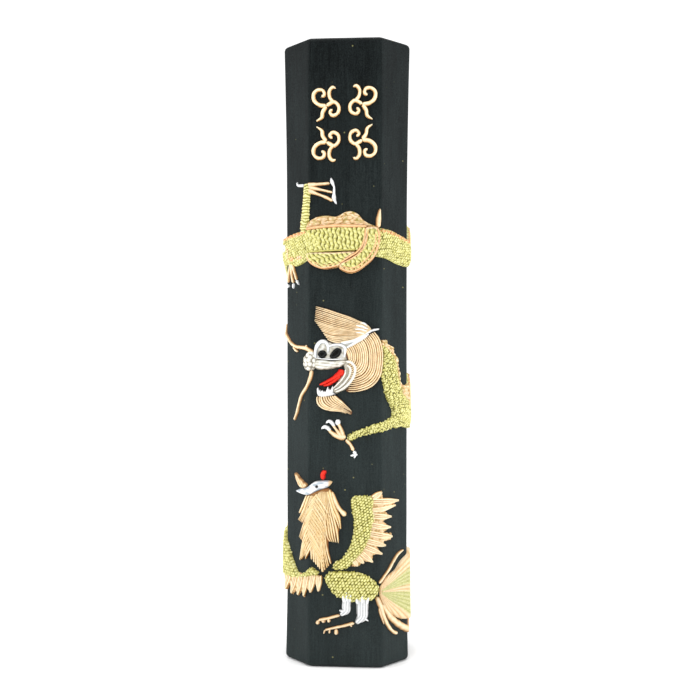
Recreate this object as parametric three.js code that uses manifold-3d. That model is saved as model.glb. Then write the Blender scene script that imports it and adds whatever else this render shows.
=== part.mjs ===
// An ink stick: an eight-sided bar of moulded ink that stands on its bottom end, with four cloud
// emblems, a dragon and a phoenix raised on its faces. Millimetres, +Z up. The origin is the
// centre of the bottom end, and the front face looks along -Y.
//
// The raised figures are drawn flat, as if the skin of the stick were unrolled: u runs round the
// stick from the middle of the front face, positive to the right, and z runs up it. Each figure
// part is cut from a flat slab, and the slab is then folded round the eight faces.

import * as THREE from "three";
import { mergeVertices } from "three/addons/utils/BufferGeometryUtils.js";
import Module from "manifold-3d";

const wasm = await Module();
wasm.setup();

// ---- Driving dimensions ----

const LENGTH = 150; // bottom end to top end
const WIDTH = 29.4; // between the two side faces, at the waist
const DEPTH = 24; // front face to back face
const FACE_WIDTH = 17.4; // front and back faces, corner to corner
const SIDE_WIDTH = 12; // side faces, corner to corner
const TOP_FLARE = 0.75; // how far each side face leans out at the top end
const TOP_FLARE_RUN = 60; // length of that lean
const BOTTOM_FLARE = 0.35; // the same at the bottom end
const BOTTOM_FLARE_RUN = 25;
const RIM_RADIUS = 1.2; // rounded rims of both ends

const SEAT_GAP = 0.05; // between the ink and what is seated on it, and between neighbours
const BODY_RELIEF = 1.1; // dragon's trunk, phoenix's body and wings
const HAIR_RELIEF = 0.9; // mane, crest, beard, fins and feathers
const LIMB_RELIEF = 0.8; // legs, jaws and skull
const THREAD_RELIEF = 0.5; // toes, whiskers, streamers and emblems

const BODY_STEPS = 15; // rings up the ink body
const RIM_STEPS = 3; // facets round a rim
const PANEL_STEPS = 6; // strips across a face that a long folded piece is split into
const LONG_PIECE = 34; // how far round the stick a long piece runs

// ---- The flat sheet that the figures are drawn on ----

const SHEET = { face: 17.4, bevel: 8.485, side: 12, height: 150 };
const SHEET_ROUND = 2 * (SHEET.face + SHEET.side) + 4 * SHEET.bevel;
const PANELS = [
  SHEET.bevel, SHEET.side, SHEET.bevel, SHEET.face,
  SHEET.bevel, SHEET.side, SHEET.bevel, SHEET.face,
];

// Where the sheet folds, starting with the right edge of the front face.
const FOLDS = PANELS.reduce((at, width) => [...at, at.at(-1) + width], [SHEET.face / 2]);

// The eight corners of the waist section in the same order.
const halfWide = WIDTH / 2;
const halfDeep = DEPTH / 2;
const halfFace = FACE_WIDTH / 2;
const halfSide = SIDE_WIDTH / 2;
const CORNERS = [
  [halfFace, -halfDeep], [halfWide, -halfSide], [halfWide, halfSide], [halfFace, halfDeep],
  [-halfFace, halfDeep], [-halfWide, halfSide], [-halfWide, -halfSide], [-halfFace, -halfDeep],
].map(([x, y]) => new THREE.Vector2(x, y));

// The corner moved out so that both faces beside it stand `out` further from the axis.
function corner(index, out) {
  const [before, here, after] = [7, 8, 9].map((step) => CORNERS[(index + step) % 8]);
  const normals = [[before, here], [here, after]].map(([from, to]) =>
    new THREE.Vector2(to.y - from.y, from.x - to.x).normalize(),
  );
  const mitre = normals[0].clone().add(normals[1]);
  return mitre.multiplyScalar(out / (1 + normals[0].dot(normals[1]))).add(here);
}

// The side faces lean out towards both ends; the front and back faces keep their width.
function lean(point) {
  const top = Math.max(0, (point.z - LENGTH + TOP_FLARE_RUN) / TOP_FLARE_RUN);
  const bottom = Math.max(0, (BOTTOM_FLARE_RUN - point.z) / BOTTOM_FLARE_RUN);
  const share = (Math.abs(point.x) - halfFace) / (halfWide - halfFace);
  const out = TOP_FLARE * top ** 2 + BOTTOM_FLARE * bottom ** 2;
  point.x += Math.sign(point.x) * out * Math.min(1, Math.max(0, share));
  return point;
}

// A point of the sheet, at a height over the ink, placed on the stick.
function fold(u, z, height) {
  const along = FOLDS[0] + THREE.MathUtils.euclideanModulo(u - FOLDS[0], SHEET_ROUND);
  const panel = FOLDS.slice(1).findIndex((end) => along <= end);
  const share = (along - FOLDS[panel]) / PANELS[panel];
  const flat = corner(panel, height).lerp(corner(panel + 1, height), share);
  return lean(new THREE.Vector3(flat.x, flat.y, (z * LENGTH) / SHEET.height));
}

// ---- Drawing tools: each gives a function of how far to grow the figure ----

// Pushes the sides of a closed polygon out by a distance.
function grown(points, distance) {
  if (THREE.ShapeUtils.area(points) < 0) points.reverse();
  return points.map((here, i) => {
    const before = points[(i + points.length - 1) % points.length];
    const after = points[(i + 1) % points.length];
    const sides = [here.clone().sub(before), after.clone().sub(here)].map((side) =>
      new THREE.Vector2(side.y, -side.x).normalize(),
    );
    const mitre = sides[0].clone().add(sides[1]);
    const reach = distance / Math.max(0.5, 1 + sides[0].dot(sides[1]));
    return here.clone().add(mitre.multiplyScalar(reach));
  });
}

const vectors = (rows) => rows.map(([u, z, half = 0]) => new THREE.Vector3(u, z, half));
const flatten = (points) => points.map((p) => new THREE.Vector2(p.x, p.y));

// A closed figure with straight sides.
const facets = (...rows) => (grow) => new THREE.Shape(grown(flatten(vectors(rows)), grow));

// A closed figure with one smooth side through all its points.
const patch = (...rows) => (grow) => {
  const curve = new THREE.CatmullRomCurve3(vectors(rows), true, "centripetal");
  const points = flatten(curve.getPoints(Math.round(1.5 * rows.length)).slice(0, -1));
  return new THREE.Shape(grown(points, grow));
};

// The end of a line is a blunt tip: how far it reaches and how wide it is, in half widths.
const TIP_REACH = 0.8;
const TIP_WIDTH = 0.6;

// A line with blunt ends, through rows of u, z and half width.
const stroke = (...rows) => (grow) => {
  const curve = new THREE.CatmullRomCurve3(vectors(rows), false, "centripetal");
  const steps = rows.length === 2 ? 1 : Math.round(1.5 * rows.length);
  const middle = curve.getPoints(steps);
  const sides = middle.map((point, i) => {
    const way = curve.getTangent(i / steps).setZ(0).normalize();
    return { point, way, across: new THREE.Vector3(-way.y, way.x, 0) };
  });
  const at = ({ point, way, across }, ahead, aside) =>
    point.clone().addScaledVector(way, ahead * point.z).addScaledVector(across, aside * point.z);
  const [first, last] = [sides[0], sides.at(-1)];
  const points = [
    ...sides.map((side) => at(side, 0, -1)),
    at(last, TIP_REACH, -TIP_WIDTH),
    at(last, TIP_REACH, TIP_WIDTH),
    ...sides.map((side) => at(side, 0, 1)).reverse(),
    at(first, -TIP_REACH, TIP_WIDTH),
    at(first, -TIP_REACH, -TIP_WIDTH),
  ];
  return new THREE.Shape(grown(flatten(points), grow));
};

// The upper or lower edge of a stroke, as the rows of a narrower stroke.
function edgeRows(rows, side, half) {
  const curve = new THREE.CatmullRomCurve3(vectors(rows), false, "centripetal");
  return rows.map(([u, z, reach], i) => {
    const way = curve.getTangent(i / (rows.length - 1));
    const off = (side * (reach - half)) / Math.hypot(way.x, way.y);
    return [u - way.y * off, z + way.x * off, half];
  });
}

// ---- Solids ----

// A closed three.js geometry as a solid that can be joined and cut.
function toSolid(geometry) {
  geometry.deleteAttribute("normal");
  geometry.deleteAttribute("uv");
  const merged = mergeVertices(geometry, 1e-4);
  const vertProperties = merged.attributes.position.array;
  const triVerts = new Uint32Array(merged.index.array);
  return new wasm.Manifold(new wasm.Mesh({ numProp: 3, vertProperties, triVerts }));
}

function slab(figure, grow, from, to) {
  const shape = figure(grow);
  const geometry = new THREE.ExtrudeGeometry(shape, { depth: to - from, bevelEnabled: false });
  return toSolid(geometry.translate(0, 0, from));
}

function joined(figures, grow, from, to) {
  return figures.map((f) => slab(f, grow, from, to)).reduce((all, one) => all.add(one));
}

// A cut can leave slivers beside the piece, so only its main body is kept.
function mainBody(solid) {
  return solid.decompose().reduce((best, one) => (one.volume() > best.volume() ? one : best));
}

// Where a folded piece is split: at the corners, and between them too if it runs far round the
// stick, so that its walls, which twist a little as they are folded, keep clear of its neighbours.
function splits(width) {
  const steps = width > LONG_PIECE ? PANEL_STEPS : 1;
  return PANELS.flatMap((panel, i) =>
    Array.from({ length: steps }, (_, step) => FOLDS[i] + (step * panel) / steps),
  );
}

// Splits each triangle that crosses u = at.
function splitTriangles(triangles, at) {
  const side = (p) => (Math.abs(p.x - at) < 1e-6 ? 0 : Math.sign(p.x - at));
  const crossing = (a, b) => {
    const [low, high] = a.x < b.x ? [a, b] : [b, a];
    return low.clone().lerp(high, (at - low.x) / (high.x - low.x)).setX(at);
  };
  return triangles.flatMap((triangle) => {
    const sides = triangle.map(side);
    if (!(sides.includes(1) && sides.includes(-1))) return [triangle];
    const lone = sides.findIndex((s) => s !== 0 && sides.filter((other) => other === s).length === 1);
    const [a, b, c] = [0, 1, 2].map((step) => triangle[(lone + step) % 3]);
    const [sideB, sideC] = [b, c].map(side);
    if (sideB === 0) return [[a, b, crossing(a, c)], [b, c, crossing(a, c)]];
    if (sideC === 0) return [[a, crossing(a, b), c], [crossing(a, b), b, c]];
    const [ab, ac] = [crossing(a, b), crossing(a, c)];
    return [[a, ab, ac], [ab, b, c], [ab, c, ac]];
  });
}

// A flat solid of the sheet, folded round the stick, as a three.js geometry.
function foldedGeometry(solid) {
  const { vertProperties, triVerts } = solid.getMesh();
  const vertex = (i) => new THREE.Vector3().fromArray(vertProperties, 3 * i);
  let triangles = [];
  for (let i = 0; i < triVerts.length; i += 3) {
    triangles.push([...triVerts.slice(i, i + 3)].map(vertex));
  }
  const { min, max } = solid.boundingBox();
  for (const turn of [-SHEET_ROUND, 0]) {
    for (const at of splits(max[0] - min[0])) triangles = splitTriangles(triangles, at + turn);
  }
  const points = triangles.flat().map((p) => fold(p.x, p.y, p.z));
  const geometry = mergeVertices(new THREE.BufferGeometry().setFromPoints(points), 1e-4);
  geometry.computeVertexNormals();
  return geometry;
}

// ---- The object ----

const PAINTS = {
  ink: { color: 0x2e3334, roughness: 0.72, metalness: 0 },
  gold_green: { color: 0xd7d282, roughness: 0.45, metalness: 0.25 },
  peach_gold: { color: 0xf0cdaa, roughness: 0.5, metalness: 0.15 },
  pearl_white: { color: 0xebeef0, roughness: 0.4, metalness: 0.1 },
  vermilion: { color: 0xe12819, roughness: 0.4, metalness: 0 },
  eye_black: { color: 0x191e1e, roughness: 0.3, metalness: 0 },
};

const inkStick = new THREE.Group();

function addMesh(name, paint, geometry) {
  const mesh = new THREE.Mesh(geometry, new THREE.MeshStandardMaterial(PAINTS[paint]));
  mesh.name = name;
  inkStick.add(mesh);
}

function addInkBody() {
  const section = new THREE.Shape([...CORNERS].reverse().map(({ x, y }) => new THREE.Vector2(x, y)));
  const geometry = new THREE.ExtrudeGeometry(section, {
    depth: LENGTH - 2 * RIM_RADIUS,
    steps: BODY_STEPS,
    bevelThickness: RIM_RADIUS,
    bevelSize: RIM_RADIUS,
    bevelOffset: -RIM_RADIUS,
    bevelSegments: RIM_STEPS,
  }).translate(0, 0, RIM_RADIUS);
  const position = geometry.attributes.position;
  for (let i = 0; i < position.count; i++) {
    const point = lean(new THREE.Vector3().fromBufferAttribute(position, i));
    position.setXYZ(i, ...point);
  }
  geometry.computeVertexNormals();
  addMesh("ink_body", "ink", geometry);
}

// Each figure part gives way to the parts added before it, which lie over it.
const placed = [];

function addRelief(name, paint, relief, ...figures) {
  let solid = joined(figures, 0, SEAT_GAP, SEAT_GAP + relief);
  for (const over of placed) {
    for (const turn of [-SHEET_ROUND, 0, SHEET_ROUND]) {
      const box = over.box.clone().translate(new THREE.Vector3(turn, 0, 0));
      const { min, max } = solid.boundingBox();
      const own = new THREE.Box3(new THREE.Vector3(...min), new THREE.Vector3(...max));
      if (box.intersectsBox(own)) solid = solid.subtract(over.cutter(turn));
    }
  }
  addMesh(name, paint, foldedGeometry(mainBody(solid)));
  const cutter = joined(figures, SEAT_GAP, 0, 2 * BODY_RELIEF);
  const { min, max } = cutter.boundingBox();
  placed.push({
    box: new THREE.Box3(new THREE.Vector3(...min), new THREE.Vector3(...max)),
    cutter: (turn) => cutter.translate([turn, 0, 0]),
  });
}

// A cloud emblem: two curls that meet in a stem, turned over by the signs of right and up.
function addEmblem(name, u, z, right, up) {
  const place = (rows) => stroke(...rows.map(([a, b, half]) => [u + right * a, z + up * b, half]));
  const upperCurl = [
    [-1.0, 1.6, 0.4], [-0.3, 2.1, 0.42], [-0.6, 3.1, 0.42], [-1.8, 3.3, 0.42], [-2.8, 2.4, 0.42],
    [-2.7, 0.8, 0.45], [-1.4, -0.3, 0.5], [0.2, -0.5, 0.5],
  ];
  const lowerCurl = [
    [1.6, -1.3, 0.35], [1.0, -2.0, 0.4], [1.7, -2.8, 0.42], [2.9, -2.2, 0.42], [3.1, -0.7, 0.42],
    [2.0, 0.4, 0.45], [0.2, -0.5, 0.5],
  ];
  const crown = [[2.4, 3.6, 0.2], [1.7, 3.9, 0.4], [0.9, 3.0, 0.42], [1.0, 1.4, 0.42], [1.9, 0.3, 0.4]];
  const stem = [[0.2, -0.6, 0.5], [-0.7, -2.0, 0.45], [-0.9, -3.2, 0.4], [-2.2, -4.2, 0.12]];
  addRelief(name, "peach_gold", THREAD_RELIEF, ...[upperCurl, lowerCurl, crown, stem].map(place));
}

function addEmblems() {
  addEmblem("emblem_cloud_upper_left", -4.6, 134, 1, 1);
  addEmblem("emblem_cloud_upper_right", 4.3, 134.3, -1, 1);
  addEmblem("emblem_cloud_lower_left", -4.6, 124.4, 1, -1);
  addEmblem("emblem_cloud_lower_right", 4.3, 124.8, -1, -1);
}

function addDragonFace() {
  addRelief("dragon_left_eye", "eye_black", BODY_RELIEF, stroke([-5.3, 74.4, 0.95], [-5.1, 74.5, 0.95]));
  addRelief("dragon_right_eye", "eye_black", BODY_RELIEF, stroke([-2.6, 74.3, 0.9], [-1.7, 75.1, 0.85]));
  addRelief(
    "dragon_nose", "pearl_white", LIMB_RELIEF,
    patch(
      [-7.1, 74.9], [-8.4, 75.2], [-9.4, 74.6], [-10.2, 73.8], [-10.5, 72.8], [-10, 71.2],
      [-9.1, 70.6], [-8, 70.6], [-7.2, 71.1], [-6.8, 72], [-6.8, 73.5],
    ),
  );
  addRelief(
    "dragon_upper_whisker", "peach_gold", THREAD_RELIEF,
    stroke(
      [-7.4, 74.8, 0.5], [-9.2, 75.8, 0.55], [-11, 76.1, 0.45], [-13.2, 76.3, 0.45],
      [-15, 77, 0.4], [-17.2, 79.2, 0.35], [-19.4, 82, 0.15],
    ),
    stroke([-14.4, 76.3, 0.35], [-13.2, 75.3, 0.3], [-12.5, 75.2, 0.2]),
  );
  addRelief(
    "dragon_lower_whisker", "peach_gold", THREAD_RELIEF,
    stroke(
      [-7.9, 70.7, 0.42], [-8.2, 69, 0.45], [-9.2, 66.9, 0.45], [-11.2, 64.7, 0.45],
      [-12.3, 62.3, 0.45], [-13, 60.4, 0.4], [-14, 58.5, 0.3],
    ),
  );
  addRelief(
    "dragon_tongue", "vermilion", LIMB_RELIEF,
    stroke(
      [-0.8, 70.4, 0.8], [-1.7, 69.7, 0.65], [-3.4, 68.5, 0.5], [-4.9, 67.5, 0.45], [-5.9, 67.2, 0.15],
    ),
  );
  addRelief(
    "dragon_horn", "pearl_white", HAIR_RELIEF,
    stroke([-1, 77.2, 0.3], [2, 77.9, 0.35], [4, 78.9, 0.4], [6, 80, 0.35], [8, 80.5, 0.2]),
  );
  addRelief(
    "dragon_muzzle", "pearl_white", LIMB_RELIEF,
    patch(
      [-6.8, 73.1], [-5, 73.3], [-3, 73], [-1, 73.2], [0.4, 72.9], [-0.4, 71.8], [-2, 71.3],
      [-4, 70.9], [-6, 70.8], [-7, 71.2],
    ),
  );
  addRelief(
    "dragon_skull", "pearl_white", LIMB_RELIEF,
    patch(
      [-7, 73.3], [-7, 75], [-6.6, 76.6], [-5.8, 77.8], [-4.8, 78], [-3.4, 77.4], [-2, 76.8],
      [0, 77.3], [2, 77.7], [4.6, 78.9], [5.4, 79], [3.4, 77.3], [1.4, 76.3], [0.1, 75], [0.6, 73.2],
      [-1, 73], [-4, 73.2],
    ),
  );
  addRelief(
    "dragon_cheek", "pearl_white", LIMB_RELIEF,
    patch(
      [0.1, 73.1], [1.6, 72.9], [2.7, 71.8], [2.8, 70.2], [2, 68.2], [0.8, 66.6], [-0.6, 65.8],
      [-2.2, 65.2], [-3, 65.8], [-2.2, 67.4], [-1, 69.2], [0, 70.4], [-0.4, 72],
    ),
  );
  addRelief(
    "dragon_lower_jaw", "pearl_white", LIMB_RELIEF,
    facets(
      [-6.5, 64.7], [-6.4, 66.4], [-5.5, 65.8], [-4.4, 65.8], [-4, 66.5], [-3.4, 66.2], [-2.7, 66.8],
      [-2.9, 65.7], [-2.2, 65.1], [-3, 64.6], [-4.4, 64.3], [-5.6, 64.2],
    ),
  );
}

function addDragonHair() {
  addRelief(
    "dragon_crest", "peach_gold", HAIR_RELIEF,
    patch(
      [-7.3, 86], [-7.8, 84.8], [-7.5, 82.6], [-6.2, 80.4], [-4.2, 78.1], [-2.4, 77.1], [0, 77.3],
      [2.4, 78], [4.4, 79.2], [6.1, 80.1], [5.1, 81.6], [3.4, 82.3], [-1, 84], [-5, 85.3],
    ),
  );
  addRelief(
    "dragon_mane", "peach_gold", HAIR_RELIEF,
    patch(
      [6.4, 80], [7.6, 78.6], [8.4, 76], [8.6, 73], [8.3, 70], [7.2, 67.8], [5, 66.4], [2.6, 65.6],
      [0.6, 65.4], [-0.4, 65.8], [1.2, 67.2], [2.6, 69.6], [2.6, 72], [0.6, 73.2], [0.2, 75],
      [1.4, 76.2], [3.4, 77.3], [5.2, 78.9],
    ),
  );
  addRelief(
    "dragon_beard", "peach_gold", HAIR_RELIEF,
    patch(
      [-6.5, 64.7], [-6.6, 63], [-5.6, 61.7], [-4, 61.1], [-2.2, 61.1], [-0.4, 60.8], [1.6, 59.9],
      [1.8, 60.8], [0.2, 62.6], [-1.4, 63.6], [-2.2, 64.8], [-4, 64.6],
    ),
  );
}

const FOREFOOT = [
  stroke([0.2, 54.9, 0.9], [-1.6, 55, 0.7], [-3.4, 56, 0.45], [-4.2, 57, 0.35], [-5.3, 56.8, 0.25]),
  stroke([-1, 55.2, 0.6], [-2.3, 56.9, 0.35], [-3.2, 58.2, 0.35], [-4.3, 58.2, 0.2]),
  stroke([-0.4, 55.2, 0.6], [-1.2, 57.2, 0.4], [-2, 58.7, 0.75]),
  stroke([0.2, 54.3, 0.5], [1.3, 53, 0.4], [2.1, 51.4, 0.4], [2.2, 49.9, 0.35]),
  stroke([1.2, 50.4, 0.15], [2.2, 50.5, 0.4], [3, 50.7, 0.2]),
];

// The trunk leaves the shoulder, climbs round the back and comes out on the left of the front.
const TRUNK = [
  [17.6, 59.8, 3.2], [24, 62, 3.4], [31, 66.6, 3.5], [38, 73, 3.5], [45, 79.6, 3.5], [53, 86.2, 3.4],
  [61, 91.8, 3.4], [69, 96.6, 3.3], [75.5, 99.6, 3.4], [79.4, 99.8, 4], [83.4, 100.6, 3.6],
];

// The tail leaves the coil on the right and climbs the back to its tuft.
const TAIL = [
  [8.4, 100.9, 3.4], [11, 100.6, 3.5], [14, 99.7, 3.5], [17.4, 99, 3.3], [22, 99.8, 3.1], [27, 102.4, 2.8],
  [32, 106.6, 2.4], [36.6, 111.8, 2], [40.6, 118, 1.5], [43.6, 125, 1],
];

function addDragonFront() {
  addRelief("dragon_forefoot", "peach_gold", THREAD_RELIEF, ...FOREFOOT);
  addRelief(
    "dragon_foreleg", "gold_green", LIMB_RELIEF,
    stroke(
      [13, 58.6, 1.4], [10, 57.5, 1.2], [7.5, 57, 1.1], [5, 56.2, 0.9], [3, 55.6, 0.8], [1.4, 54.8, 0.9],
    ),
  );
  addRelief(
    "dragon_neck_fin", "peach_gold", HAIR_RELIEF,
    facets(
      [8.5, 76.6], [8.6, 77.8], [10.2, 77.9], [10.4, 77], [12.4, 76.2], [12.4, 75], [13.8, 73.5],
      [13.8, 71.8], [14.4, 70], [14.5, 68], [15.1, 67.3], [16.2, 66.9], [17.5, 67.4], [17.5, 63.2],
      [16.3, 63.5], [15.1, 64.8], [14.2, 67], [13.6, 69.6], [13.1, 72.4], [11.9, 74.2], [10.4, 75.6],
    ),
  );
  addRelief(
    "dragon_neck", "gold_green", BODY_RELIEF,
    patch(
      [8.6, 77], [8.8, 75], [8.8, 72], [8.4, 69.6], [9.2, 66.6], [10, 64.2], [11.3, 62.2], [11.9, 60.6],
      [11.7, 59], [12.6, 56.9], [15, 57], [17.4, 56.6], [17.6, 59.6], [17.4, 63.2], [15.2, 65.4],
      [14, 69], [13.3, 72.6], [12, 74.6], [10.4, 76],
    ),
  );
}

function addDragonCoils() {
  addRelief(
    "dragon_tail_spike", "peach_gold", HAIR_RELIEF,
    stroke([7.8, 104.4, 0.5], [7.85, 106, 0.6], [8, 107.5, 0.45], [8.15, 108.9, 0.1]),
  );
  addRelief(
    "dragon_loop", "gold_green", BODY_RELIEF,
    patch(
      [-1.5, 95.1], [0, 94], [1.5, 93.7], [3, 94.1], [5, 95.5], [6.6, 97], [7.6, 99], [8.1, 101],
      [8.2, 103], [7.6, 104.6], [5.6, 104.8], [4.4, 104.4], [4.3, 102.4], [3.8, 100.3], [2.6, 98.5],
      [0.6, 97.2], [-1.2, 96.2],
    ),
  );
  addRelief(
    "dragon_hind_claws", "pearl_white", THREAD_RELIEF,
    stroke(
      [-3.3, 116.4, 0.1], [-3.1, 115.4, 0.45], [-2.6, 114.2, 0.25], [-2.6, 113, 0.35],
      [-2.6, 111.4, 0.5], [-2, 110.1, 0.2],
    ),
  );
  addRelief(
    "dragon_hind_toes", "peach_gold", THREAD_RELIEF,
    stroke([-9, 114.7, 0.7], [-6, 114.9, 0.4], [-3.6, 115.1, 0.4]),
    stroke([-7.6, 114, 0.7], [-5.4, 113.4, 0.35], [-3, 112.9, 0.35]),
    stroke([-8, 113.4, 0.7], [-6, 112.2, 0.5], [-3.2, 111, 0.4]),
  );
  addRelief(
    "dragon_hind_rear_toe", "pearl_white", THREAD_RELIEF,
    stroke([-10.2, 114.8, 0.45], [-11.6, 115, 0.35], [-12.5, 115.2, 0.35], [-12.7, 116, 0.15]),
  );
  addRelief(
    "dragon_hind_leg", "gold_green", LIMB_RELIEF,
    stroke([-10.3, 104.8, 1.4], [-10, 106.8, 1.35], [-9.7, 109.4, 1.2], [-9.4, 112, 1.1], [-9.3, 114.2, 1]),
  );
  addRelief(
    "dragon_left_foot", "peach_gold", THREAD_RELIEF,
    stroke([-15.2, 97, 0.6], [-16.1, 94.2, 0.4], [-16.4, 92, 0.4], [-16.6, 90.8, 0.65]),
    stroke([-15.2, 97, 0.6], [-14.9, 93.4, 0.35], [-14.4, 91.6, 0.45], [-14.3, 90.4, 0.25]),
    stroke([-15, 96.6, 0.6], [-13.7, 93.8, 0.35], [-13.1, 92.2, 0.5], [-12.2, 91.2, 0.2]),
  );
  addRelief(
    "dragon_coil_fin", "peach_gold", HAIR_RELIEF,
    patch(
      [-9.2, 104.4], [-8.4, 106], [-6.6, 107.1], [-4.5, 107.4], [-2, 107.2], [0, 108.2], [1.4, 108.4],
      [3.1, 107.7], [4.2, 106.4], [6.2, 105.2], [7.3, 104.8], [4, 104.9], [0, 104.9], [-5, 104.8],
    ),
  );
  addRelief(
    "dragon_coil", "gold_green", BODY_RELIEF,
    facets(
      [-9, 98.6], [-9.1, 101.4], [-9.1, 104.2], [-5, 104.8], [0, 104.9], [5, 104.9], [5, 102],
      [4.4, 100.4], [3.4, 99], [-3, 98.9],
    ),
  );
  addRelief(
    "dragon_coil_belly", "gold_green", BODY_RELIEF,
    patch(
      [-9, 98.5], [-9, 97.4], [-8.4, 96.4], [-7, 95.3], [-5, 94.7], [-3, 94.9], [-1.4, 95.3], [0.8, 97.2],
      [2.6, 98.7], [-3, 98.8],
    ),
  );
}

function addDragonBack() {
  addRelief(
    "dragon_tail_tuft", "peach_gold", HAIR_RELIEF,
    stroke([43.8, 125.6, 0.9], [45.6, 129.4, 1.4], [46.4, 133.6, 1.1], [48, 138, 0.15]),
    stroke([43.6, 125.6, 0.9], [42.4, 130, 1.2], [42.6, 134, 0.9], [41.4, 137.6, 0.15]),
    stroke([43.8, 125, 0.9], [47.4, 127.4, 0.9], [50, 130.6, 0.6], [51.4, 134, 0.15]),
  );
  addRelief("dragon_tail_fin", "peach_gold", HAIR_RELIEF, stroke(...edgeRows(TAIL, 1, 0.45)));
  addRelief("dragon_tail", "gold_green", BODY_RELIEF, stroke(...TAIL));
  addRelief("dragon_trunk_fin", "peach_gold", HAIR_RELIEF, stroke(...edgeRows(TRUNK, 1, 0.55)));
  addRelief(
    "dragon_back_foot", "peach_gold", THREAD_RELIEF,
    stroke([50.4, 66.8, 0.8], [48.4, 65.2, 0.4], [46.6, 64.8, 0.3], [45.8, 63.8, 0.15]),
    stroke([50.4, 66.8, 0.8], [49, 63.8, 0.4], [47.8, 62, 0.3], [47.8, 60.8, 0.15]),
    stroke([50.6, 66.6, 0.8], [50.8, 63.4, 0.4], [50.4, 61.4, 0.3], [51, 60.2, 0.15]),
    stroke([51, 67, 0.7], [52.6, 66.6, 0.4], [53.8, 67.4, 0.15]),
  );
  addRelief(
    "dragon_back_leg", "gold_green", LIMB_RELIEF,
    stroke([47.6, 80.4, 1.7], [50.6, 77, 1.5], [52.2, 73.4, 1.2], [51.4, 70, 1], [50.7, 67.6, 0.9]),
  );
  addRelief("dragon_trunk", "gold_green", BODY_RELIEF, stroke(...TRUNK));
}

function addPhoenixHead() {
  addRelief(
    "phoenix_comb", "vermilion", LIMB_RELIEF,
    stroke([-5.1, 44.7, 0.45], [-5.2, 46.1, 0.6], [-4.5, 46.8, 0.45]),
  );
  addRelief(
    "phoenix_head", "pearl_white", LIMB_RELIEF,
    patch(
      [-13.2, 41.5], [-11, 40.95], [-8.5, 41], [-6.4, 42.1], [-4, 43], [-3.1, 44.2], [-5, 44.5],
      [-7.2, 44.2], [-9, 42.9], [-11, 42.4],
    ),
  );
  addRelief(
    "phoenix_upper_beak", "peach_gold", LIMB_RELIEF,
    patch([-13.5, 45.7], [-12.8, 44.4], [-11.4, 43.1], [-9.6, 42.8], [-8, 43.6], [-9.6, 44.8], [-11.6, 45.6]),
  );
}

function addPhoenixFeathers() {
  addRelief(
    "phoenix_neck_feathers", "peach_gold", HAIR_RELIEF,
    facets(
      [-9.2, 41.2], [-9.9, 39.4], [-10.7, 37.8], [-11.6, 36], [-11.4, 35.2], [-12.1, 34.3], [-10.6, 33.7],
      [-11.1, 32], [-11.6, 30.1], [-10.9, 29.4], [-11, 27.6], [-11.7, 25.6], [-11.2, 23.9], [-10.2, 24.4],
      [-8.3, 27.1], [-7.6, 25.6], [-7, 23.8], [-6, 22.6], [-4.9, 21.9], [-3.6, 23.1], [-2.9, 24.4],
      [-3.1, 26.4], [-4, 30], [-2.6, 29.2], [-1.6, 28.9], [-1.4, 31.3], [-0.9, 32.4], [-1.1, 34.2],
      [-2, 36.4], [-3.1, 38.6], [-3.6, 43], [-5, 42.9], [-6.4, 42.4],
    ),
  );
  addRelief(
    "phoenix_side_plume", "peach_gold", THREAD_RELIEF,
    stroke([-3.4, 41.9, 0.5], [-2.4, 39.6, 0.6], [-1.4, 37.8, 0.5], [0.2, 36.2, 0.65]),
  );
  addRelief(
    "phoenix_right_wing", "gold_green", BODY_RELIEF,
    patch(
      [1.3, 39.8], [1.9, 40.7], [4, 41], [6.2, 40.8], [7, 40], [6.6, 38], [7, 36], [6.4, 33.4], [6, 31],
      [4.8, 28.7], [3.2, 26.5], [1.2, 24.2], [-0.4, 23.4], [-3, 23.6], [-2.6, 25], [-0.8, 26],
      [1, 28.8], [1.9, 31.6], [2, 35], [1.5, 38.2],
    ),
  );
  addRelief(
    "phoenix_right_wing_feathers", "peach_gold", HAIR_RELIEF,
    facets(
      [6.3, 40.9], [7.6, 41.1], [8.6, 42.1], [9, 40.5], [14, 39.4], [12, 38.4], [9, 37.7], [11.6, 35.8],
      [9, 34.9], [11.5, 33.2], [9.3, 32.3], [11.7, 31.8], [12, 31], [11.5, 30.3], [9.2, 30], [9.8, 29.2],
      [7.6, 28.8], [8.7, 27.2], [6.6, 27], [6.4, 25.2], [4.4, 25.4], [3, 24.1], [1.4, 24.2], [3, 28],
      [5, 33], [5.6, 38],
    ),
  );
  addRelief(
    "phoenix_left_wing", "gold_green", BODY_RELIEF,
    patch(
      [-24.6, 30.4], [-21, 31.6], [-18.4, 31], [-16.6, 28.2], [-15, 25.5], [-13.4, 23], [-12.2, 21.9],
      [-10, 22.4], [-7.8, 23.9], [-6.2, 22.2], [-9, 21.5], [-11, 20.9], [-14, 20.2], [-17.2, 20.3],
      [-20.4, 21], [-23.4, 23], [-25.6, 26.4],
    ),
  );
  addRelief(
    "phoenix_left_wing_feathers", "peach_gold", HAIR_RELIEF,
    facets(
      [-5.6, 21.8], [-6.2, 18.1], [-7.1, 19.8], [-8.1, 17.8], [-9.2, 18.8], [-10.2, 16.5], [-11.2, 17.8],
      [-12.3, 16.4], [-13.3, 17.4], [-14.7, 16.2], [-15.5, 18.6], [-17, 16.7], [-18.4, 18.4], [-20.4, 16.8],
      [-21.2, 19], [-24, 18.4], [-24.2, 21], [-27, 21], [-26.8, 23.8], [-29, 25.6], [-27.2, 27.4],
      [-28.4, 30.4], [-25.8, 30.6], [-24.6, 33.4], [-22.6, 31.4], [-24, 28], [-21, 23], [-14, 21.6], [-8, 22.6],
    ),
  );
}

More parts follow.
